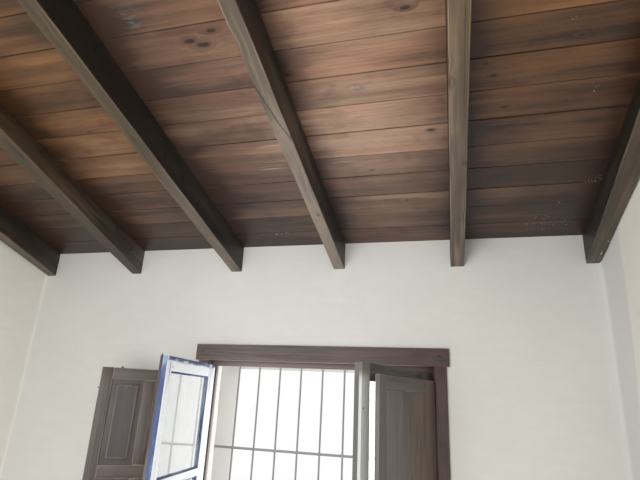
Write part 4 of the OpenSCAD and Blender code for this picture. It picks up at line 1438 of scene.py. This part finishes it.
def casement_finish(leaf_t, leaf_top):
    p, colour = wood("casement_paint", shade(CASEMENT_BROWN, 0.55), CASEMENT_BROWN, WORN_BROWN,
                     RUBBED_BROWN, gloss=0.42, fineness=1.2, knots=0.3, relief=0.0006)
    height = p.add("SeparateXYZ", p.place()).outputs["Z"]
    # Painted glare greys the right leaf, and painted shade keeps its top dark under the head board.
    glare_leaf = p.span(p.noted("tone"), 0.30, 0.60)
    below_head = p.span(height, leaf_top - HEAD_SHADE / 3, leaf_top - HEAD_SHADE)
    glare_share = p.times(glare_leaf, below_head)
    colour = p.mix(glare_share, colour, p.mix(0.15, GLARE_GREY, colour))
    grain, depth = p.noted("grain"), p.noted("depth")
    brush = p.noise(p.stretch(grain, 3.0, 70.0, 70.0), 1.0, 4.0, 0.6)
    patches = p.noise(p.stretch(grain, 5.0, 14.0, 14.0), 1.0, 4.0)
    blue = p.mix(p.span(patches, 0.42, 0.68), BLUE, CHALKED_BLUE)
    blue = p.mix(p.times(p.span(p.sum(p.noted("wear"), brush), 1.18, 1.50), 0.7), blue, BARE_WOOD)
    ragged = p.sum(height, p.times(p.sum(patches, -0.5), 0.05))
    below_band = p.span(ragged, leaf_top - BLUE_BAND + 0.004, leaf_top - BLUE_BAND - 0.004)
    worn_through = p.span(patches, 0.50, 0.58)
    faded = p.sum(p.times(below_band, p.span(brush, 0.30, 0.44)), p.times(worn_through, 0.6), "MAXIMUM")
    on_face = p.span(depth, leaf_t - 0.0022, leaf_t - 0.0010)
    # The washed-out white is partly worn paint and partly painted daylight glare.
    blue = p.mix(p.times(on_face, faded), blue, WASHED_OUT_AND_GLARE)
    # On the right leaf the outer side takes the painted glare too, and painted shade near its top.
    blue = p.mix(glare_leaf, blue, p.mix(below_head, WORN_BROWN, GLARE_GREY_EDGE))
    line = p.sum(depth, p.times(p.noise(p.stretch(grain, 30, 8, 8), 1.0), 0.0016))
    outside = p.span(line, BRUSH_LINE, BRUSH_LINE + 0.0010)
    p.set(base_color=p.mix(outside, colour, blue), roughness=p.span(outside, 0, 1, 0.42, 0.80))
    return p.material


leaf_box = own_box("left_leaf_stiles", swing["left"])
CASEMENT_FINISH = casement_finish(leaf_box[1].y, leaf_box[1].z)
print("finish:", CASEMENT_FINISH.name)

# %% [markdown]
# Each leaf has two stiles, two rails and a glazing bar. The panes lie in a rebate cut from the
# outside, so the stiles and rails are L-shaped in section, and small beads hold the glass.
# A picture frame in one piece would lose the joints. Here each stick is pulled from its own
# outline, and the rails lie a hair behind the stiles, so the line of each joint shows.

# %% The casements' joinery
TOP_RAIL, BOTTOM_RAIL, GLAZING_BAR = 0.068, 0.076, 0.036
# How far the glazing bar's foot stands above the leaf's.
GLAZING_BAR_UP = 0.548
REBATE, GLASS_Y, GLASS_T = 0.008, 0.023, 0.004
STILE_ARRIS, RAIL_ARRIS, BAR_ARRIS = 0.0018, 0.0015, 0.0012
# The hair's breadth that a rail or a muntin lies behind the stiles.
FLUSH = 0.0004
# The free stile of the right leaf gets a high tone, which turns on the painted glare.
LEAF_TONE_AND_GLARE = {"left": (0.0, 0.02), "right": (0.0, 0.70)}


def rebated(inner, outer, step, thick):
    """An L-shaped section: full width on the room side, less a rebate on the outer side. inner
    is the edge towards the glass, and step is the rebate, signed away from the glass."""
    return [(outer, 0), (inner, 0), (inner, GLASS_Y), (inner + step, GLASS_Y), (inner + step, thick),
            (outer, thick)]


def casement(side):
    placed = swing[side]
    lower, upper = own_box(side + "_leaf_stiles", placed)
    width, thick, foot, top = upper.x, upper.y, lower.z, upper.z
    glass = own_box(side + "_leaf_glass", placed)
    bar_low = own_box(side + "_leaf_rails", placed)[0].z + GLAZING_BAR_UP
    clear_x = (glass[0].x + REBATE, glass[1].x - REBATE)

    stiles = Bench(40 + len(side), placed)
    for inner, outer, step, tone in ((clear_x[0], 0, -REBATE, LEAF_TONE_AND_GLARE[side][0]),
                                     (clear_x[1], width, REBATE, LEAF_TONE_AND_GLARE[side][1])):
        planed(stiles, rebated(inner, outer, step, thick), "Z", foot, top, STILE_ARRIS, tone)
    dress(stiles.piece(side + "_stiles"), CASEMENT_FINISH, "casement_paint", side + "_leaf_stiles")

    rails = Bench(50 + len(side), placed)
    ends = (glass[0].x, glass[1].x)
    for inner, outer, step in ((foot + BOTTOM_RAIL + REBATE, foot, -REBATE),
                               (top - TOP_RAIL - REBATE, top, REBATE)):
        outline = [(max(y, FLUSH), z) for z, y in rebated(inner, outer, step, thick - FLUSH)]
        planed(rails, outline, "X", *ends, RAIL_ARRIS, rails.chance.uniform(-0.03, 0.03))
    bar = [(FLUSH, bar_low - REBATE), (FLUSH, bar_low + GLAZING_BAR + REBATE),
           (GLASS_Y, bar_low + GLAZING_BAR + REBATE), (GLASS_Y, bar_low + GLAZING_BAR),
           (thick - FLUSH, bar_low + GLAZING_BAR), (thick - FLUSH, bar_low), (GLASS_Y, bar_low),
           (GLASS_Y, bar_low - REBATE)]
    planed(rails, bar, "X", *ends, BAR_ARRIS)
    dress(rails.piece(side + "_rails"), CASEMENT_FINISH, "casement_paint", side + "_leaf_rails")
    return placed, glass, ((glass[0].z, bar_low), (bar_low + GLAZING_BAR, glass[1].z))


leaves = {side: casement(side) for side in SIDES}

# %% [markdown]
# Old panes were drawn and not floated, so they are faintly wavy. A film of lime dust lies on
# them, and the light that rakes them from outside makes it glow.
# A pane only needs a true thickness, because the shader bends the light by itself. Waves this
# faint would be lost in the mesh, so a very shallow bump stands for them. The film is a share of
# the surface, here more and there less, that doesn't let light through.

# %% Panes and beads
PANE_GAP, PANE_ARRIS = 0.001, 0.0004
BEAD_D, BEAD_BEVEL, BEAD_ARRIS = 0.008, 0.003, 0.0008
WAVE_DEPTH = 0.00002
FLAT_TO_THE_EDGE = math.radians(5)


def glass_finish():
    p = Palette("window_glass", base_color=(0.95, 0.98, 0.97), roughness=0.0, ior=1.5,
                transmission_weight=1.0)
    waves = p.noise(p.stretch(p.place(), 9.0, 9.0, 3.0), 1.0, 2.0)
    film = p.noise(p.stretch(p.place(), 7.0, 7.0, 4.0), 1.0, 4.0, 0.6)
    p.set(normal=p.bump(waves, WAVE_DEPTH), transmission_weight=p.span(film, 0.35, 0.70, 0.90, 0.78))
    return p.material


GLASS_FINISH = glass_finish()


def glaze(side):
    placed, glass, panes = leaves[side]
    left, right = glass[0].x, glass[1].x
    sheets, beads = Bench(60 + len(side), placed), Bench(70 + len(side), placed)
    y0, y1 = GLASS_Y + GLASS_T, GLASS_Y + GLASS_T + BEAD_D
    shoulder = y1 - BEAD_BEVEL
    for low_z, high_z in panes:
        outline = rectangle(GLASS_Y, GLASS_Y + GLASS_T, low_z + PANE_GAP, high_z - PANE_GAP)
        planed(sheets, outline, "X", left + PANE_GAP, right - PANE_GAP, PANE_ARRIS, wander=0.0)
        for z0, z1 in ((low_z, low_z + REBATE), (high_z - REBATE, high_z)):
            outline = [(y0, z0), (shoulder, z0), (y1, (z0 + z1) / 2), (shoulder, z1), (y0, z1)]
            planed(beads, outline, "X", left, right, BEAD_ARRIS, beads.chance.uniform(-0.03, 0.03))
        for x0, x1 in ((left, left + REBATE), (right - REBATE, right)):
            outline = [(x0, y0), (x1, y0), (x1, shoulder), ((x0 + x1) / 2, y1), (x0, shoulder)]
            planed(beads, outline, "Z", low_z + REBATE, high_z - REBATE, BEAD_ARRIS,
                   beads.chance.uniform(-0.03, 0.03))
    pane = sheets.piece(side + "_panes")
    dress(pane, GLASS_FINISH, "window_glass", side + "_leaf_glass")
    # A mirror shows every crease, so a pane keeps its faces flat right up to its arrises.
    tidy_mesh(pane, FLAT_TO_THE_EDGE)
    dress(beads.piece(side + "_beads"), CASEMENT_FINISH, "casement_paint", side + "_leaf_beads")


for side in SIDES:
    glaze(side)

# %% [markdown]
# The left shutter has kept its dark, warm stain. The right one has faded to paler and cooler, and
# towards its free edge it is made paler still, partly fading and partly a painted glow of the window's
# light. Two materials would need a border between them, so there is one, and the tone that the bench
# notes for each timber says how far it has faded and how much glow is painted on.

# %% The shutters' finish
SHUTTER_DARK, SHUTTER_BROWN = (0.021, 0.0155, 0.013), (0.050, 0.0385, 0.032)
# The pale colour marks rubbed arrises and the painted highlight on the panels' field steps.
SHUTTER_PALE, SHUTTER_WORN_AND_GLINT = (0.110, 0.092, 0.079), (0.36, 0.30, 0.26)
# What the stain is multiplied by, where it has kept its warmth and where it has faded.
KEPT_WARM, FADED_COOL = (1.10, 0.92, 0.80), (1.00, 1.06, 1.14)


def shutter_finish():
    p, colour = wood("shutter_wood", SHUTTER_DARK, SHUTTER_BROWN, SHUTTER_PALE, SHUTTER_WORN_AND_GLINT,
                     gloss=0.48, fineness=1.3, knots=0.25, relief=0.0008, contrast=0.75)
    faded = p.span(p.noted("tone"), 0.06, 0.30)
    p.set(base_color=p.mix(1.0, colour, p.mix(faded, KEPT_WARM, FADED_COOL), "MULTIPLY"))
    return p.material


SHUTTER_FINISH = shutter_finish()
print("finish:", SHUTTER_FINISH.name)

# %% [markdown]
# Each shutter is a frame of stiles, rails and muntins around four raised panels. A raised panel
# is bevelled all around, up to a flat field with a fine step at its edge, and it is that step and
# the bevels that catch the light; a thin painted highlight along the step adds to it. The Inset tool
# could shape it face by face. It is drawn as rectangles inside each other instead, from the flat
# back over the edge to the field, so one short list holds the whole section of it.

# %% The shutters' joinery
SHUTTER_STILE, SHUTTER_FREE, SHUTTER_RAIL, LOCK_RAIL = 0.095, 0.060, 0.060, 0.064
LOCK_RAIL_UP = 0.485
MUNTIN_X, MUNTIN_W = 0.252, 0.062
PANEL_EDGE, PANEL_FIELD, PANEL_BEVEL, PANEL_TONGUE = 0.008, 0.016, 0.033, 0.004
FIELD_STEP = 0.0040
FRONT_ARRIS, BACK_ARRIS = 0.0035, 0.0010
# How light each shutter is, from its hinge to its free edge. On the right one the rise is partly painted
# glow.
SHUTTER_FADE_AND_GLOW = {"left": (-0.18, -0.18), "right": (0.12, 0.38)}


def raised_panel(bench, x0, x1, z0, z1, tone):
    """Rectangles inside each other: (margin from the panel's edge, depth from its flat back, how
    rubbed, which on the field's step is a painted highlight). A groove is left around the back, where the
    panel's tongue enters the frame."""
    field_foot = PANEL_FIELD - FIELD_STEP
    # The pale rub on the field's step is a painted highlight along the edge that catches the light.
    steps = ((0.0070, 0.0005, 0.2), (0.0055, 0.0014, 0.0), (0.0055, 0.0035, 0.0),
             (0.0, 0.0035, 0.0), (0.0, PANEL_EDGE, 0.0), (0.004, PANEL_EDGE, 0.1),
             (PANEL_BEVEL - 0.001, field_foot, 0.0), (PANEL_BEVEL, field_foot + 0.0003, 0.1),
             (PANEL_BEVEL + 0.0012, PANEL_FIELD - 0.0008, 0.6), (PANEL_BEVEL + 0.0038, PANEL_FIELD, 0.35),
             (PANEL_BEVEL + 0.0070, PANEL_FIELD, 0.0))
    rings, wears = [], []
    for m, d, rubbed in steps:
        corners = ((x0 + m, z0 + m), (x1 - m, z0 + m), (x1 - m, z1 - m), (x0 + m, z1 - m))
        rings.append([Vector((x, d, z)) for x, z in corners])
        wears.append([rubbed] * 4)
    bench.skin(rings, AXES["Z"], tone + bench.chance.uniform(-0.04, 0.04), wears)


def shutter(side):
    placed = shutter_swing[side]
    lower, upper = own_box(side + "_shutter_stiles", placed)
    width, thick, foot, top = upper.x, upper.y, lower.z, upper.z
    lock = foot + LOCK_RAIL_UP
    bays_x = ((SHUTTER_STILE, MUNTIN_X), (MUNTIN_X + MUNTIN_W, width - SHUTTER_FREE))
    bays_z = ((foot + SHUTTER_RAIL, lock), (lock + LOCK_RAIL, top - SHUTTER_RAIL))
    benches = {part: Bench(80 + 7 * k + len(side), placed)
               for k, part in enumerate(("stiles", "rails", "muntins", "panels"))}
    at_hinge, at_free = SHUTTER_FADE_AND_GLOW[side]
    upright = [BACK_ARRIS, BACK_ARRIS, FRONT_ARRIS, FRONT_ARRIS]
    level = [BACK_ARRIS, FRONT_ARRIS, FRONT_ARRIS, BACK_ARRIS]

    def tone_at(x):
        return at_hinge + (at_free - at_hinge) * (x / width) ** 1.5

    for x0, x1 in ((0, SHUTTER_STILE), (width - SHUTTER_FREE, width)):
        planed(benches["stiles"], rectangle(x0, x1, 0, thick), "Z", foot, top, upright,
               tone_at((x0 + x1) / 2) + benches["stiles"].chance.uniform(-0.02, 0.02))
    for z0, z1 in ((foot, foot + SHUTTER_RAIL), (lock, lock + LOCK_RAIL), (top - SHUTTER_RAIL, top)):
        planed(benches["rails"], rectangle(FLUSH, thick - FLUSH, z0, z1), "X",
               SHUTTER_STILE, width - SHUTTER_FREE, level,
               tone_at(width / 2) + benches["rails"].chance.uniform(-0.02, 0.02))
    t = PANEL_TONGUE
    for z0, z1 in bays_z:
        planed(benches["muntins"], rectangle(MUNTIN_X, MUNTIN_X + MUNTIN_W, FLUSH, thick - FLUSH), "Z",
               z0, z1, upright, tone_at(MUNTIN_X))
        for x0, x1 in bays_x:
            raised_panel(benches["panels"], x0 - t, x1 + t, z0 - t, z1 + t, tone_at((x0 + x1) / 2))
    for part, bench in benches.items():
        made = bench.piece(f"{side}_shutter_{part}_made")
        dress(made, SHUTTER_FINISH, "shutter_wood", f"{side}_shutter_{part}")


for side in SIDES:
    shutter(side)

# %% [markdown]
# The hinges and the bolt are iron, painted black. What is round in them stands upright: the
# knuckles with their pins, and the bolt's rod. A Screw modifier could turn a profile, but the
# bench already joins rings, so one function makes rings from a profile of (height, radius)
# pairs, and a short one makes small plates. The grille is given a light grey paint, painted light
# that stands for the daylight glaring round its bars, so it has a finish of its own by the same recipe.

# %% Ironwork
# The grille's light grey is painted glare of the daylight behind it.
BLACK_PAINT, BACKLIT_GREY_PAINT = (0.050, 0.049, 0.048), (0.250, 0.250, 0.245)
RUST = (0.110, 0.062, 0.040)


def iron_finish(name, paint, rusty):
    p = Palette(name, metallic=0.0, roughness=0.55)
    where = p.place()
    rust = p.span(p.noise(where, 22.0, 5.0, 0.7), 0.58, 0.72)
    colour = p.mix(p.times(rust, rusty), paint, RUST)
    p.set(base_color=colour, normal=p.bump(p.noise(where, 160.0, 3.0), 0.0008))
    return p.material


IRON_FINISH = iron_finish("painted_iron", BLACK_PAINT, 0.65)
GRILLE_FINISH = iron_finish("chalked_iron", BACKLIT_GREY_PAINT, 0.25)


def turned(bench, x, y, profile, sides=12):
    """Turns a profile about the upright line at (x, y)."""
    rings = []
    for z, r in profile:
        rings.append([Vector((x + r * math.cos(a), y + r * math.sin(a), z))
                      for a in (2 * math.pi * (k + 0.5) / sides for k in range(sides))])
    bench.skin(rings, AXES["Z"])


def plate(bench, x0, x1, y0, y1, z0, z1, radius=0.0008):
    planed(bench, rectangle(x0, x1, y0, y1), "Z", z0, z1, radius, wander=0.0)


print("finishes:", IRON_FINISH.name, "and", GRILLE_FINISH.name)

# %% [markdown]
# The grille stands in the middle of the reveal. Its uprights pass through two flat cross bars,
# which the smith punched hot, so that each hole swelled into an eye. The uprights aren't quite
# straight or quite evenly thick, which shows as soon as a row of them is seen against the light.
# Cylinders and boxes would be too true for that. So an upright is a skin over rings that sway
# and swell a little, and a cross bar has more rings near each upright, where it bulges.

# %% The window's grille
BAR_R, BAR_SIDES, BAR_SWAY = 0.0055, 10, 0.0007
BAR_COUNT = 9
CROSS_H, CROSS_D, CROSS_ARRIS = 0.015, 0.016, 0.002
EYE_REACH = 0.008
EYE_STATIONS = (-0.014, -0.009, -0.005, 0, 0.005, 0.009, 0.014)


def grille():
    lower, upper = low("window_bars"), high("window_bars")
    mid_y = (lower.y + upper.y) / 2
    first, last = lower.x + BAR_R, upper.x - BAR_R
    xs = evenly(first, last, (last - first) / (BAR_COUNT - 1))
    cross_low, cross_high = low("cross_bars"), high("cross_bars")
    cross_z = (cross_low.z + CROSS_H / 2, cross_high.z - CROSS_H / 2)

    bars = Bench(90)
    for x in xs:
        seed = bars.chance.uniform(0, 90)
        rings = []
        for z in evenly(lower.z, upper.z, 0.04):
            sway = BAR_SWAY * noise.noise(Vector((z * 3, seed, 0)))
            r = BAR_R * (0.955 + 0.04 * noise.noise(Vector((z * 14, seed, 3))))
            rings.append([Vector((x + sway + r * math.cos(a), mid_y + r * math.sin(a), z))
                          for a in (2 * math.pi * k / BAR_SIDES for k in range(BAR_SIDES))])
        bars.skin(rings, AXES["Z"])
    dress(bars.piece("uprights"), GRILLE_FINISH, "dark_iron", "window_bars")

    cross = Bench(91)
    for z in cross_z:
        stations = sorted(evenly(cross_low.x, cross_high.x, 0.02)
                          + [x + d for x in xs for d in EYE_STATIONS])
        rings = []
        for s in stations:
            swelling = max(math.exp(-((s - x) / EYE_REACH) ** 2) for x in xs)
            half_d = CROSS_D / 2 * (0.82 + 0.18 * swelling)
            half_h = CROSS_H / 2 * (0.86 + 0.14 * swelling)
            outline = rectangle(mid_y - half_d, mid_y + half_d, z - half_h, z + half_h)
            loop = eased([Vector(p) for p in outline], CROSS_ARRIS, 2)[0]
            rings.append([Vector((s, p.x, p.y)) for p in loop])
        cross.skin(rings, AXES["X"])
    dress(cross.piece("flats"), GRILLE_FINISH, "dark_iron", "cross_bars")


grille()

# %% [markdown]
# Hinges of this kind have a knuckle of three rings on a pin with a small button at each end.
# Rings, pin and buttons could be pieces of their own, but nothing shows between them, so they
# are one turned profile. The left leaf's plates lie open to view, with two screws each. The
# right leaf's stay behind the open leaf, so they have none.

# %% Hinges
PLATE_T = 0.002
HINGE_H = 0.070
LEAF_KNUCKLE_R = 0.005
# Along X from the opening's edge: the left frame plate's far end and its screws.
FRAME_PLATE_W, FRAME_SCREWS = 0.042, 0.026
# Along the leaf from its hinge: the left plate's ends and its screws, and the right plate's end.
LEAF_PLATE, LEAF_SCREWS, EDGE_PLATE_W = (0.012, 0.036), 0.024, 0.014
SCREW_R, SCREW_HEAD, SCREW_UP = 0.003, 0.0008, 0.014


def at_both_ends(low_z, high_z):
    """The feet of the two hinges of a leaf, whose ironwork reaches from low_z to high_z."""
    return low_z, high_z - HINGE_H


def knuckle(bench, x, y, z, r):
    """Three rings on a pin, with a button above and below."""
    profile = [(z, 0.0005), (z, r * 0.75), (z + 0.002, r * 0.9), (z + 0.004, r * 0.6)]
    ring_h = (HINGE_H - 0.010) / 3
    for k in range(3):
        a = z + 0.005 + k * ring_h
        profile += [(a, r * 0.8), (a + 0.0006, r), (a + ring_h - 0.0012, r), (a + ring_h - 0.0006, r * 0.8)]
    top = z + HINGE_H
    profile += [(top - 0.005, r * 0.6), (top - 0.003, r * 0.9), (top - 0.001, r * 0.7), (top, 0.0005)]
    turned(bench, x, y, profile, 14)


def screws(bench, x, y, z):
    for dz in (SCREW_UP, HINGE_H - SCREW_UP):
        outline = rectangle(x - SCREW_R, x + SCREW_R, y - SCREW_HEAD, y)
        planed(bench, outline, "Z", z + dz - SCREW_R, z + dz + SCREW_R, 0.0004)


def leaf_hinges(side):
    """The knuckles and the frame's plates first, in the room, then the plates on the leaf."""
    lower, upper = own_box(side + "_leaf_hinges", Matrix.Identity(4))
    bench = Bench(95 + len(side))
    r = LEAF_KNUCKLE_R
    for z in at_both_ends(lower.z, upper.z):
        if side == "left":
            x, y = OPENING_L - 0.001, FRAME_FACE - r
            knuckle(bench, x, y, z, r)
            plate(bench, OPENING_L - FRAME_PLATE_W, x, FRAME_FACE - PLATE_T, FRAME_FACE, z, z + HINGE_H)
            screws(bench, OPENING_L - FRAME_SCREWS, FRAME_FACE - PLATE_T, z)
        else:
            x, y = OPENING_R - PLATE_T - r, INNER_Y - 0.006
            knuckle(bench, x, y, z, r)
            plate(bench, OPENING_R - PLATE_T, OPENING_R, y, STOP_FACE, z, z + HINGE_H)
    bench.place = swing[side]
    for z in at_both_ends(lower.z, upper.z):
        if side == "left":
            plate(bench, *LEAF_PLATE, -PLATE_T, 0, z, z + HINGE_H)
            screws(bench, LEAF_SCREWS, -PLATE_T, z)
        else:
            plate(bench, 0, EDGE_PLATE_W, -PLATE_T - r, 0, z, z + HINGE_H)
    dress(bench.piece(side + "_casement_hinges"), IRON_FINISH, "dark_iron", side + "_leaf_hinges")


def shutter_hinges(side):
    """A shutter hangs on its casement, so its hinges are made in the casement's own axes."""
    bench = Bench(105 + len(side), swing[side])
    lower, upper = own_box(side + "_shutter_hinges", swing[side])
    if side == "left":
        x, y, r = LEFT_SHUTTER_HINGE.x + 0.0025, -0.0045, 0.004
        plate_face = -PLATE_T
    else:
        # The right bracket reaches from the casement's face to the middle of the knuckle.
        x, y, r = RIGHT_SHUTTER_HINGE.x - 0.005, -0.014, 0.005
        plate_face = max(lower.y, y)
    for z in at_both_ends(lower.z, upper.z):
        knuckle(bench, x, y, z, r)
        plate(bench, lower.x, x, plate_face, 0, z, z + HINGE_H)
    dress(bench.piece(side + "_shutter_hinges_made"), IRON_FINISH, "dark_iron", side + "_shutter_hinges")


for side in SIDES:
    leaf_hinges(side)
    shutter_hinges(side)

# %% [markdown]
# The left casement carries a bolt on its meeting stile: a rod that slides up past the leaf's top,
# held on a plate by three guides, with a knob at its foot to push it by. The rod and its knob
# are one turned profile, as on the hinges, and guides with a wide arris read as bent straps.

# %% The bolt
BOLT_PLATE_H, GUIDE_D = 0.095, 0.009
GUIDE_HALF_W, GUIDE_H, GUIDE_ARRIS = 0.0085, 0.013, 0.002
GUIDES_UP = (0.006, 0.041, 0.076)


def bolt():
    lower, upper = own_box("leaf_bolt", swing["left"])
    bench = Bench(120, swing["left"])
    mid_x = (lower.x + upper.x) / 2
    plate_foot = leaf_box[1].z - BOLT_PLATE_H - 0.001
    plate(bench, lower.x, upper.x, -PLATE_T, 0, plate_foot, plate_foot + BOLT_PLATE_H)
    for z in [plate_foot + up for up in GUIDES_UP]:
        plate(bench, mid_x - GUIDE_HALF_W, mid_x + GUIDE_HALF_W, -GUIDE_D, -0.0005, z, z + GUIDE_H,
              GUIDE_ARRIS)
    rod = [(lower.z, 0.0005), (lower.z, 0.0040), (lower.z + 0.008, 0.0044), (lower.z + 0.012, 0.0030),
           (upper.z - 0.002, 0.0036), (upper.z, 0.0020), (upper.z, 0.0005)]
    turned(bench, mid_x, -GUIDE_D / 2, rod)
    dress(bench.piece("bolt"), IRON_FINISH, "dark_iron", "leaf_bolt")


bolt()

# %% [markdown]
# Some small iron is too small for the measured frame and is added here: the bolt head that holds
# the head board to the wall, and three little studs that the leaves were once hooked back by. It
# stands for no measured node, but it rides on the same body and takes the iron's finish. A sphere
# cut in half would look like a ball, so each head is a low dome over five rings.

# %% Small iron
# The head bolt's place on the board as (x, z), then a washer and a head as (radius, height).
HEAD_BOLT_AT = (0.908, 1.840)
WASHER, BOLT_HEAD = (0.0145, 0.0035), (0.0085, 0.0065)
STUD_R, STUD_H, LOW_STUD_H = 0.0035, 0.009, 0.004
# Where the studs are: along the shutter's top, down its free edge, and on the casement's face.
TOP_STUD_X, EDGE_STUD_DOWN, FACE_STUD_AT = 0.438, 0.107, (0.604, 1.578)
DOME_SIDES = 14
DOME_STEPS = ((0.0, 0.9), (0.15, 1.0), (0.55, 0.92), (0.85, 0.62), (1.0, 0.15))


def dome(bench, centre, out, radius, height):
    """A round head on a face, bulging along out."""
    side = out.orthogonal().normalized()
    other = out.cross(side)
    angles = [2 * math.pi * k / DOME_SIDES for k in range(DOME_SIDES)]
    rings = []
    for up, wide in DOME_STEPS:
        middle = centre + out * height * up
        rings.append([middle + (side * math.cos(a) + other * math.sin(a)) * radius * wide for a in angles])
    bench.skin(rings, out)


def small_iron():
    bench = Bench(130)
    into_room, up, outwards = Vector((0, -1, 0)), Vector((0, 0, 1)), Vector((1, 0, 0))
    head_face = Vector((HEAD_BOLT_AT[0], FRAME_FACE, HEAD_BOLT_AT[1]))
    dome(bench, head_face + Vector((0, 0.0005, 0)), into_room, *WASHER)
    dome(bench, head_face + Vector((0, -0.0028, 0)), into_room, *BOLT_HEAD)
    bench.place = shutter_swing["left"]
    corner = own_box("left_shutter_stiles", bench.place)[1]
    x, y, z = corner.x - 0.001, corner.y / 2, corner.z
    dome(bench, Vector((TOP_STUD_X, y, z - 0.001)), up, 2 * STUD_R, STUD_H)
    dome(bench, Vector((x, y, z - EDGE_STUD_DOWN)), outwards, STUD_R, STUD_H)
    bench.place = swing["right"]
    dome(bench, Vector((FACE_STUD_AT[0], 0.0005, FACE_STUD_AT[1])), into_room, STUD_R, LOW_STUD_H)
    studs = bench.piece("studs")
    tidy_mesh(studs)
    studs.data.materials.append(IRON_FINISH)
    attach(studs, "root")
    print("studs:", len(studs.data.polygons), "faces")


small_iron()

# %% [markdown]
# The floor is a plain pale sheet and not a piece of the model, so it is staged. It matters all
# the same: light that falls on it comes back up and lights the ceiling from below, as a real
# floor does. A hard edge or a horizon would draw the eye, so the sheet fades away to nothing
# some metres out, by the distance from its middle.

# %% The studio floor
FLOOR_FADES_FROM, FLOOR_ENDS = 4.0, 8.5
FLOOR_Z = -0.001


def floor_finish():
    p = Palette("studio_floor", base_color=(0.86, 0.855, 0.84), roughness=0.95)
    out = p.add("VectorMath", p.place(), operation="LENGTH").outputs["Value"]
    gone = p.add("BsdfTransparent").outputs[0]
    fade = p.add("MixShader", p.span(out, FLOOR_FADES_FROM, FLOOR_ENDS))
    p.tree.links.new(p.shader.outputs[0], fade.inputs[1])
    p.tree.links.new(gone, fade.inputs[2])
    p.tree.links.new(fade.outputs[0], p.tree.nodes["Material Output"].inputs["Surface"])
    return p.material


def studio_floor():
    mesh = bpy.data.meshes.new("studio_floor")
    corners = [(*corner, FLOOR_Z) for corner in rectangle(-FLOOR_ENDS, FLOOR_ENDS, -FLOOR_ENDS, FLOOR_ENDS)]
    mesh.from_pydata(corners, [], [(0, 1, 2, 3)])
    mesh.materials.append(floor_finish())
    sheet = put("studio_floor", mesh)
    print("floor:", 2 * FLOOR_ENDS, "m each way, fading from", FLOOR_FADES_FROM, "m")


studio_floor()

# %% [markdown]
# A room is lit through its openings, so three of the four lamps are soft panels that stand in
# them. One is in the open side, where the rest of the room would glow. It is kept narrow and
# well off the side walls, or it would burn them out beside it. Two of the window's size stand
# for the daylight. The one on the room side of the bars lights the open leaves and puts a sheen
# on the boards. The other, at the outer face, is weaker, as it rakes the reveal from close by
# and would burn it out. All three shine inwards, so the outer walls get next to nothing from
# them. The fourth lamp, high behind the window wall, gives the outside some shape.
# The world is white where the camera, a mirror or a pane looks at it, and dimmer where it only
# lights, so the whitewash keeps its tone.

# %% Light
# How bright each lamp's face is and how much the world lights, where 1 is white.
AMBIENT = 0.74
ROOM_GLOW = 5.4
WINDOW_GLOW = 1.4
REVEAL_GLOW = 0.8
KEY_GLOW = 1.5
# The room's panel: its size, the height of its middle, and how far off the open side it is.
ROOM_PANEL, ROOM_PANEL_Z, ROOM_PANEL_OFF = 1.5, 1.50, 0.15
# How far the daylight's panels are from the bars and from the outer face.
OFF_BARS, OFF_OUTER_FACE = 0.012, 0.03
KEY_SIZE, KEY_PLACE, KEY_AIM = 4.0, (-5.0, 6.5, 5.5), (0, 0.5, 1.5)


def area_light(name, place, aim, width, height, glow):
    """A soft panel that looks from its place towards its aim."""
    data = bpy.data.lights.new(name, "AREA")
    data.shape = "RECTANGLE"
    data.size, data.size_y = width, height
    data.energy = glow * math.pi * width * height
    lamp = put(name, data)
    lamp.location = place
    lamp.rotation_euler = (Vector(aim) - Vector(place)).to_track_quat("-Z", "Y").to_euler()
    lamp.visible_camera = False
    print(name, "is", round(width, 2), "by", round(height, 2), "m")


def white_around():
    world = bpy.data.worlds.new("studio")
    bpy.context.scene.world = world
    world.use_nodes = True
    tree = world.node_tree
    rays = tree.nodes.new("ShaderNodeLightPath")
    total = rays.outputs["Is Camera Ray"]
    for kind in ("Is Glossy Ray", "Is Transmission Ray"):
        either = tree.nodes.new("ShaderNodeMath")
        either.operation = "MAXIMUM"
        tree.links.new(total, either.inputs[0])
        tree.links.new(rays.outputs[kind], either.inputs[1])
        total = either.outputs[0]
    level = tree.nodes.new("ShaderNodeMapRange")
    level.inputs["To Min"].default_value = AMBIENT
    tree.links.new(total, level.inputs["Value"])
    tree.links.new(level.outputs["Result"], tree.nodes["Background"].inputs["Strength"])
    tree.nodes["Background"].inputs["Color"].default_value = (1, 1, 1, 1)


window_x, window_z = (REVEAL_L + REVEAL_R) / 2, (REVEAL_SILL + REVEAL_HEAD) / 2
area_light("room_glow", (0, OPEN_Y - ROOM_PANEL_OFF, ROOM_PANEL_Z), (0, 0, ROOM_PANEL_Z),
           ROOM_PANEL, ROOM_PANEL, ROOM_GLOW)
for name, place_y, glow in (("window_glow", low("window_bars").y - OFF_BARS, WINDOW_GLOW),
                            ("reveal_glow", OUTER_Y + OFF_OUTER_FACE, REVEAL_GLOW)):
    area_light(name, (window_x, place_y, window_z), (window_x, 0, window_z),
               REVEAL_R - REVEAL_L, REVEAL_HEAD - REVEAL_SILL, glow)
area_light("studio_key", KEY_PLACE, KEY_AIM, KEY_SIZE, KEY_SIZE, KEY_GLOW)
white_around()
bpy.context.scene.view_settings.view_transform = "Standard"
